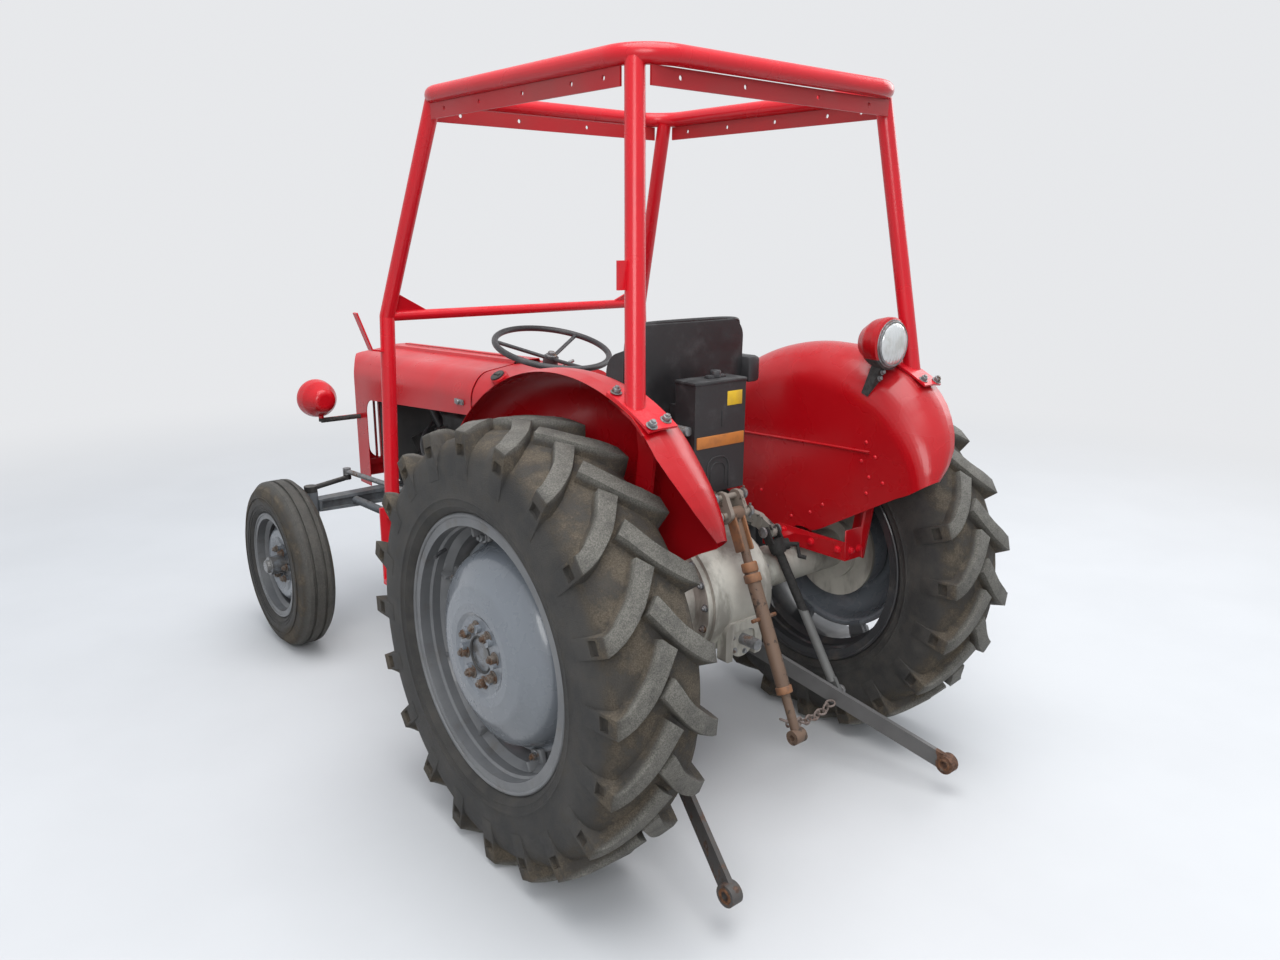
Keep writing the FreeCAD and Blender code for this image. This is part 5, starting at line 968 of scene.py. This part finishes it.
def hitch_fittings():
    """Pin heads and clips of the linkage, the rocker's spring and the top link's screwed parts."""
    heads = []
    for x, y, z in ((0.058, 0.124, 0.948), (0.062, 0.150, 0.898)):
        for s in (1, -1):
            heads.append(drum(0.017, 0.012, spot((x - 0.004) * s, y, z), (s, 0, 0), 28, 0.004))
            heads.append(drum(0.004, 0.046, spot((x + 0.003) * s, y, z - 0.023), (0, 0, 1), 10))
    settled(joined(*heads), "rocker_upper_heads", "grey_steel")
    coil = [spot(0.058 + 0.0035 * index / 8, 0.150, 0.898) + rim_direction(45 * index) * 0.016 for index in range(49)]
    settled(pipe(coil, 0.0022, sides=4), "rocker_spring", "rust_brown")
    top, low = spot(0, 0.150, 0.898), spot(0, 0.431, 0.281)
    run = (low - top).normalized()
    fork = [slab((0.008, 0.040, 0.11), top + run * 0.060 + Vector((0.0185 * s, 0, 0)), 0.004, pointing(run))
            for s in (1, -1)]
    collars = [drum(0.0245, 0.030, top + run * 0.150, run, 28, 0.004),
               drum(0.0265, 0.026, top + run * 0.185, run, 28, 0.003),
               drum(0.0250, 0.022, low - run * 0.150, run, 28, 0.003)]
    settled(joined(*fork, *collars), "top_link_fittings", "rust_brown", ORANGE_PRIMER, body="top_link")
    bar = drum(0.006, 0.10, top + run * 0.32 + Vector((-0.050, 0, 0)), (1, 0, 0), 16, 0.001)
    settled(bar, "turnbuckle_bar", "rust_brown", body="top_link")
    thread = []
    for index in range(12):
        out = Matrix.Rotation(math.tau * index / 6, 3, run) @ Vector((0.0135, 0, 0))
        thread.append(top + run * (0.128 + 0.0022 * index) + out)
    settled(pipe(thread, 0.0016, sides=4), "top_link_thread", "dark_iron", body="top_link")
    for side, s in SIDES:
        pins = [drum(0.018, 0.010, spot(x * s, 0.042, 0.763), (s, 0, 0), 24, 0.003) for x in (0.242, 0.310)]
        pins.append(drum(0.017, 0.014, spot(0.388 * s, 0.281, 0.246), (s, 0, 0), 24, 0.004))
        settled(joined(*pins), f"lift_rod_pin_heads_{side}", "grey_steel", body=f"lift_rod_{side}")
        head = drum(0.019, 0.012, spot(0.213 * s, -0.130, 0.410), (s, 0, 0), 28, 0.004)
        settled(head, f"link_pin_head_{side}", "grey_steel")
        balls = [hoop(0.0165, 0.0050, spot(x * s, 0.639, 0.104), (1, 0, 0), 32) for x in (0.4985, 0.4655)]
        settled(joined(*balls), f"link_ball_rings_{side}", "rust_brown", body=f"lower_link_{side}")


# Bonnet, engine and front

def bonnet_trim():
    ridge = [spot(0, y, z) for y, z in ((-0.985, 1.2530), (-1.30, 1.2435), (-1.70, 1.2310), (-1.95, 1.2220))]
    settled(pipe(ridge, 0.0030), "bonnet_centre_seam", "hood_red", body="bonnet")
    for side, s in SIDES:
        catch = joined(slab((0.012, 0.060, 0.020), spot(0.2515 * s, -1.035, 1.105), 0.003),
                       drum(0.010, 0.012, spot(0.252 * s, -1.035, 1.105), (s, 0, 0), 20, 0.002))
        settled(catch, f"bonnet_catch_{side}", "grey_steel", body="bonnet")


def engine_fittings():
    """What stands out on the engine's top, its injection lines, and the radiator's hose, cap and fins."""
    cover = [(spot(0, y, 0.9845), (0, 0, 1)) for y in (-1.40, -1.25, -1.08)]
    bolted("rocker_cover_nuts", "grey_steel", 0.012, 0.011, cover)
    cap = joined(drum(0.030, 0.020, spot(0, -1.48, 0.984), (0, 0, 1), 32, 0.004),
                 drum(0.036, 0.008, spot(0, -1.48, 1.004), (0, 0, 1), 12, 0.002))
    settled(cap, "oil_filler_cap", "dark_iron")
    lines = []
    for index in range(4):
        pump, head = -1.38 + 0.04 * index, -1.46 + 0.13 * index
        line = ((0.150, pump, 0.835), (0.152, pump, 0.870), (0.150, (head + pump) / 2, 0.905), (0.120, head, 0.925),
                (0.070, head, 0.925))
        lines.append(pipe([spot(*place) for place in line], 0.0035))
    settled(joined(*lines), "injection_lines", "grey_steel")
    hose = ((0.06, -1.76, 1.02), (0.06, -1.70, 1.02), (0.05, -1.64, 0.99), (0.04, -1.60, 0.93), (0.04, -1.56, 0.9))
    settled(pipe([spot(*place) for place in hose], 0.021, sides=16), "radiator_top_hose", "wheel_rim_black")
    settled(hoop(0.0225, 0.0030, spot(0.06, -1.735, 1.02), (0, 1, 0), 32), "hose_clips", "grey_steel")
    fins = [slab((0.40, 0.0012, 0.33), spot(0, -1.8215, 0.88), 0.0)]
    for index in range(24):
        fins.append(slab((0.404, 0.003, 0.0022), spot(0, -1.8222, 0.718 + 0.0142 * index), 0.0))
    settled(joined(*fins), "radiator_fins", "dark_iron")
    neck = joined(drum(0.024, 0.028, spot(0, -1.79, 1.059), (0, 0, 1), 28, 0.003),
                  drum(0.031, 0.012, spot(0, -1.79, 1.085), (0, 0, 1), 28, 0.004))
    settled(neck, "radiator_cap", "grey_steel")


def engine_pipes():
    """Dark pipes, hoses and cables down the engine's sides, with the fuel filter on the left."""
    runs = (
        ((0.12, -1.50, 0.94), (0.20, -1.47, 0.90), (0.215, -1.40, 0.80), (0.20, -1.30, 0.70), (0.16, -1.22, 0.62)),
        ((0.10, -1.15, 0.97), (0.19, -1.17, 0.93), (0.225, -1.22, 0.84), (0.21, -1.33, 0.76), (0.17, -1.45, 0.70)),
        ((0.09, -1.02, 0.95), (0.17, -1.03, 0.93), (0.205, -1.08, 0.86), (0.20, -1.12, 0.75), (0.16, -1.10, 0.66)),
        ((0.13, -1.60, 0.78), (0.19, -1.55, 0.77), (0.21, -1.45, 0.74), (0.20, -1.30, 0.73), (0.17, -1.20, 0.76)))
    for side, s, count, slot in (("left", 1, 4, "wheel_rim_black"), ("right", -1, 3, "dark_iron")):
        pipes = [pipe([spot(x * s, y, z) for x, y, z in run], 0.007 + 0.003 * index)
                 for index, run in enumerate(runs[:count])]
        settled(joined(*pipes), f"engine_pipes_{side}", slot)
    filters = joined(drum(0.045, 0.13, spot(0.175, -1.235, 0.70), (0, 0, 1), 32, 0.008),
                     drum(0.030, 0.03, spot(0.175, -1.235, 0.828), (0, 0, 1), 24, 0.005),
                     drum(0.012, 0.03, spot(0.175, -1.235, 0.858), (0, 0, 1), 6, 0.002))
    settled(filters, "fuel_filter", "grey_steel")


def tread_plate():
    """Raised bars on both footplates."""
    bars = []
    for s in (1, -1):
        for row in range(11):
            for column in range(4):
                turn = Matrix.Rotation(math.radians(40 if (row + column) % 2 else -40), 4, "Z")
                place = spot((0.185 + 0.052 * column) * s, -0.895 + 0.043 * row, 0.5258)
                bars.append(slab((0.034, 0.006, 0.003), place, 0.0, turn))
    settled(joined(*bars), "footplate_tread", "frame_red", smooth=0)


def dress_pieces():
    fender_shells()
    drilled_strips()
    for side, s in SIDES:
        rear_wheel_fittings(side, s)
        front_wheel_fittings(side, s)
    lamps()
    fasteners()
    seat_cushions()
    seat_trim()
    seat_box_trim()
    dash_fittings()
    hitch_fittings()
    bonnet_trim()
    engine_fittings()
    engine_pipes()
    tread_plate()


# Camera, floor and light

BACKDROP = (0.80, 0.81, 0.83, 1)


def set_camera():
    """The photograph's viewpoint: position, direction, tilt and field of view."""
    flat = math.cos(EYE_PITCH)
    ahead = Vector((flat * math.cos(EYE_YAW), flat * math.sin(EYE_YAW), math.sin(EYE_PITCH)))
    right = Vector((math.sin(EYE_YAW), -math.cos(EYE_YAW), 0.0))
    above = right.cross(ahead)
    right, above = (right * math.cos(EYE_ROLL) + above * math.sin(EYE_ROLL),
                    above * math.cos(EYE_ROLL) - right * math.sin(EYE_ROLL))
    data = bpy.data.cameras.new("photo_camera")
    data.sensor_width = SENSOR
    data.lens = SENSOR * EYE_FOCAL_PIXELS / PHOTO_WIDTH
    camera = bpy.data.objects.new("photo_camera", data)
    bpy.context.scene.collection.objects.link(camera)
    turn = Matrix((right, above, -ahead)).transposed()
    camera.matrix_world = Matrix.Translation(EYE) @ turn.to_4x4()
    bpy.context.scene.camera = camera


def shown_rays(tree):
    """1 where a ray comes straight, by gloss or through glass from the camera, 0 where it only lights."""
    path = tree.nodes.new("ShaderNodeLightPath")
    share = path.outputs["Is Camera Ray"]
    for name in ("Is Glossy Ray", "Is Transmission Ray"):
        most = tree.nodes.new("ShaderNodeMath")
        most.operation = "MAXIMUM"
        tree.links.new(share, most.inputs[0])
        tree.links.new(path.outputs[name], most.inputs[1])
        share = most.outputs[0]
    return share


def set_floor():
    """A pale floor that keeps the shadow near the tractor and runs evenly into the backdrop."""
    bpy.ops.mesh.primitive_plane_add(size=60, location=(0, 0, 0))
    floor = bpy.context.object
    floor.name = "floor"
    finish = Finish("floor", 0.9)
    seen = shown_rays(finish.tree)
    pale = finish.clouded(1.5, 4, (0.545, 0.55, 0.555), (0.565, 0.57, 0.575), 0.3)
    finish.colour(finish.mix(seen, (0.24, 0.23, 0.215), pale))
    far = finish.between(finish.length(finish.place), 2.4, 7.5)
    glow = finish.node("ShaderNodeEmission", Color=BACKDROP)
    mix = finish.tree.nodes.new("ShaderNodeMixShader")
    finish.feed(mix.inputs[0], finish.times(far, seen))
    finish.tree.links.new(finish.shader.outputs[0], mix.inputs[1])
    finish.tree.links.new(glow.outputs[0], mix.inputs[2])
    finish.tree.links.new(mix.outputs[0], finish.tree.nodes["Material Output"].inputs["Surface"])
    floor.data.materials.append(finish.material)


def set_world():
    """Overcast light: bright above, dimmer at the horizon and dark below, with a plain pale backdrop."""
    world = bpy.data.worlds.new("studio")
    bpy.context.scene.world = world
    world.use_nodes = True
    tree = world.node_tree
    seen = tree.nodes["Background"]
    seen.inputs["Color"].default_value = BACKDROP
    lit = tree.nodes.new("ShaderNodeBackground")
    place = tree.nodes.new("ShaderNodeTexCoord")
    split = tree.nodes.new("ShaderNodeSeparateXYZ")
    tree.links.new(place.outputs["Generated"], split.inputs[0])
    ramp = tree.nodes.new("ShaderNodeValToRGB")
    tree.links.new(split.outputs["Z"], ramp.inputs[0])
    first, last = ramp.color_ramp.elements
    first.position, first.color = 0.0, (0.16, 0.17, 0.17, 1)
    last.position, last.color = 0.85, (0.95, 1.0, 1.08, 1)
    for height, colour in ((0.10, (0.24, 0.26, 0.27, 1)), (0.30, (0.58, 0.63, 0.70, 1))):
        step = ramp.color_ramp.elements.new(height)
        step.color = colour
    tree.links.new(ramp.outputs[0], lit.inputs["Color"])
    mix = tree.nodes.new("ShaderNodeMixShader")
    tree.links.new(shown_rays(tree), mix.inputs[0])
    tree.links.new(lit.outputs[0], mix.inputs[1])
    tree.links.new(seen.outputs[0], mix.inputs[2])
    tree.links.new(mix.outputs[0], tree.nodes["World Output"].inputs["Surface"])


# Studio lamps: name, place, power in watts, size across
LAMPS = (
    ("sky_panel", (0.5, 1.5, 6.5), 330, 6.0),
    ("rear_panel", (4.5, 5.0, 3.6), 150, 3.5),
    ("side_panel", (-6.0, 1.0, 4.0), 110, 4.0),
)


def set_lamps():
    for name, place, power, size in LAMPS:
        data = bpy.data.lights.new(name, "AREA")
        data.energy = power
        data.shape = "DISK"
        data.size = size
        lamp = bpy.data.objects.new(name, data)
        bpy.context.scene.collection.objects.link(lamp)
        aim = (Vector((0, 0.2, 0.8)) - Vector(place)).normalized()
        lamp.matrix_world = Matrix.Translation(place) @ aim.to_track_quat("-Z", "Y").to_matrix().to_4x4()


set_camera()
set_floor()
set_world()
set_lamps()
dress_frame()
dress_pieces()

bpy.context.scene.view_settings.view_transform = "Standard"
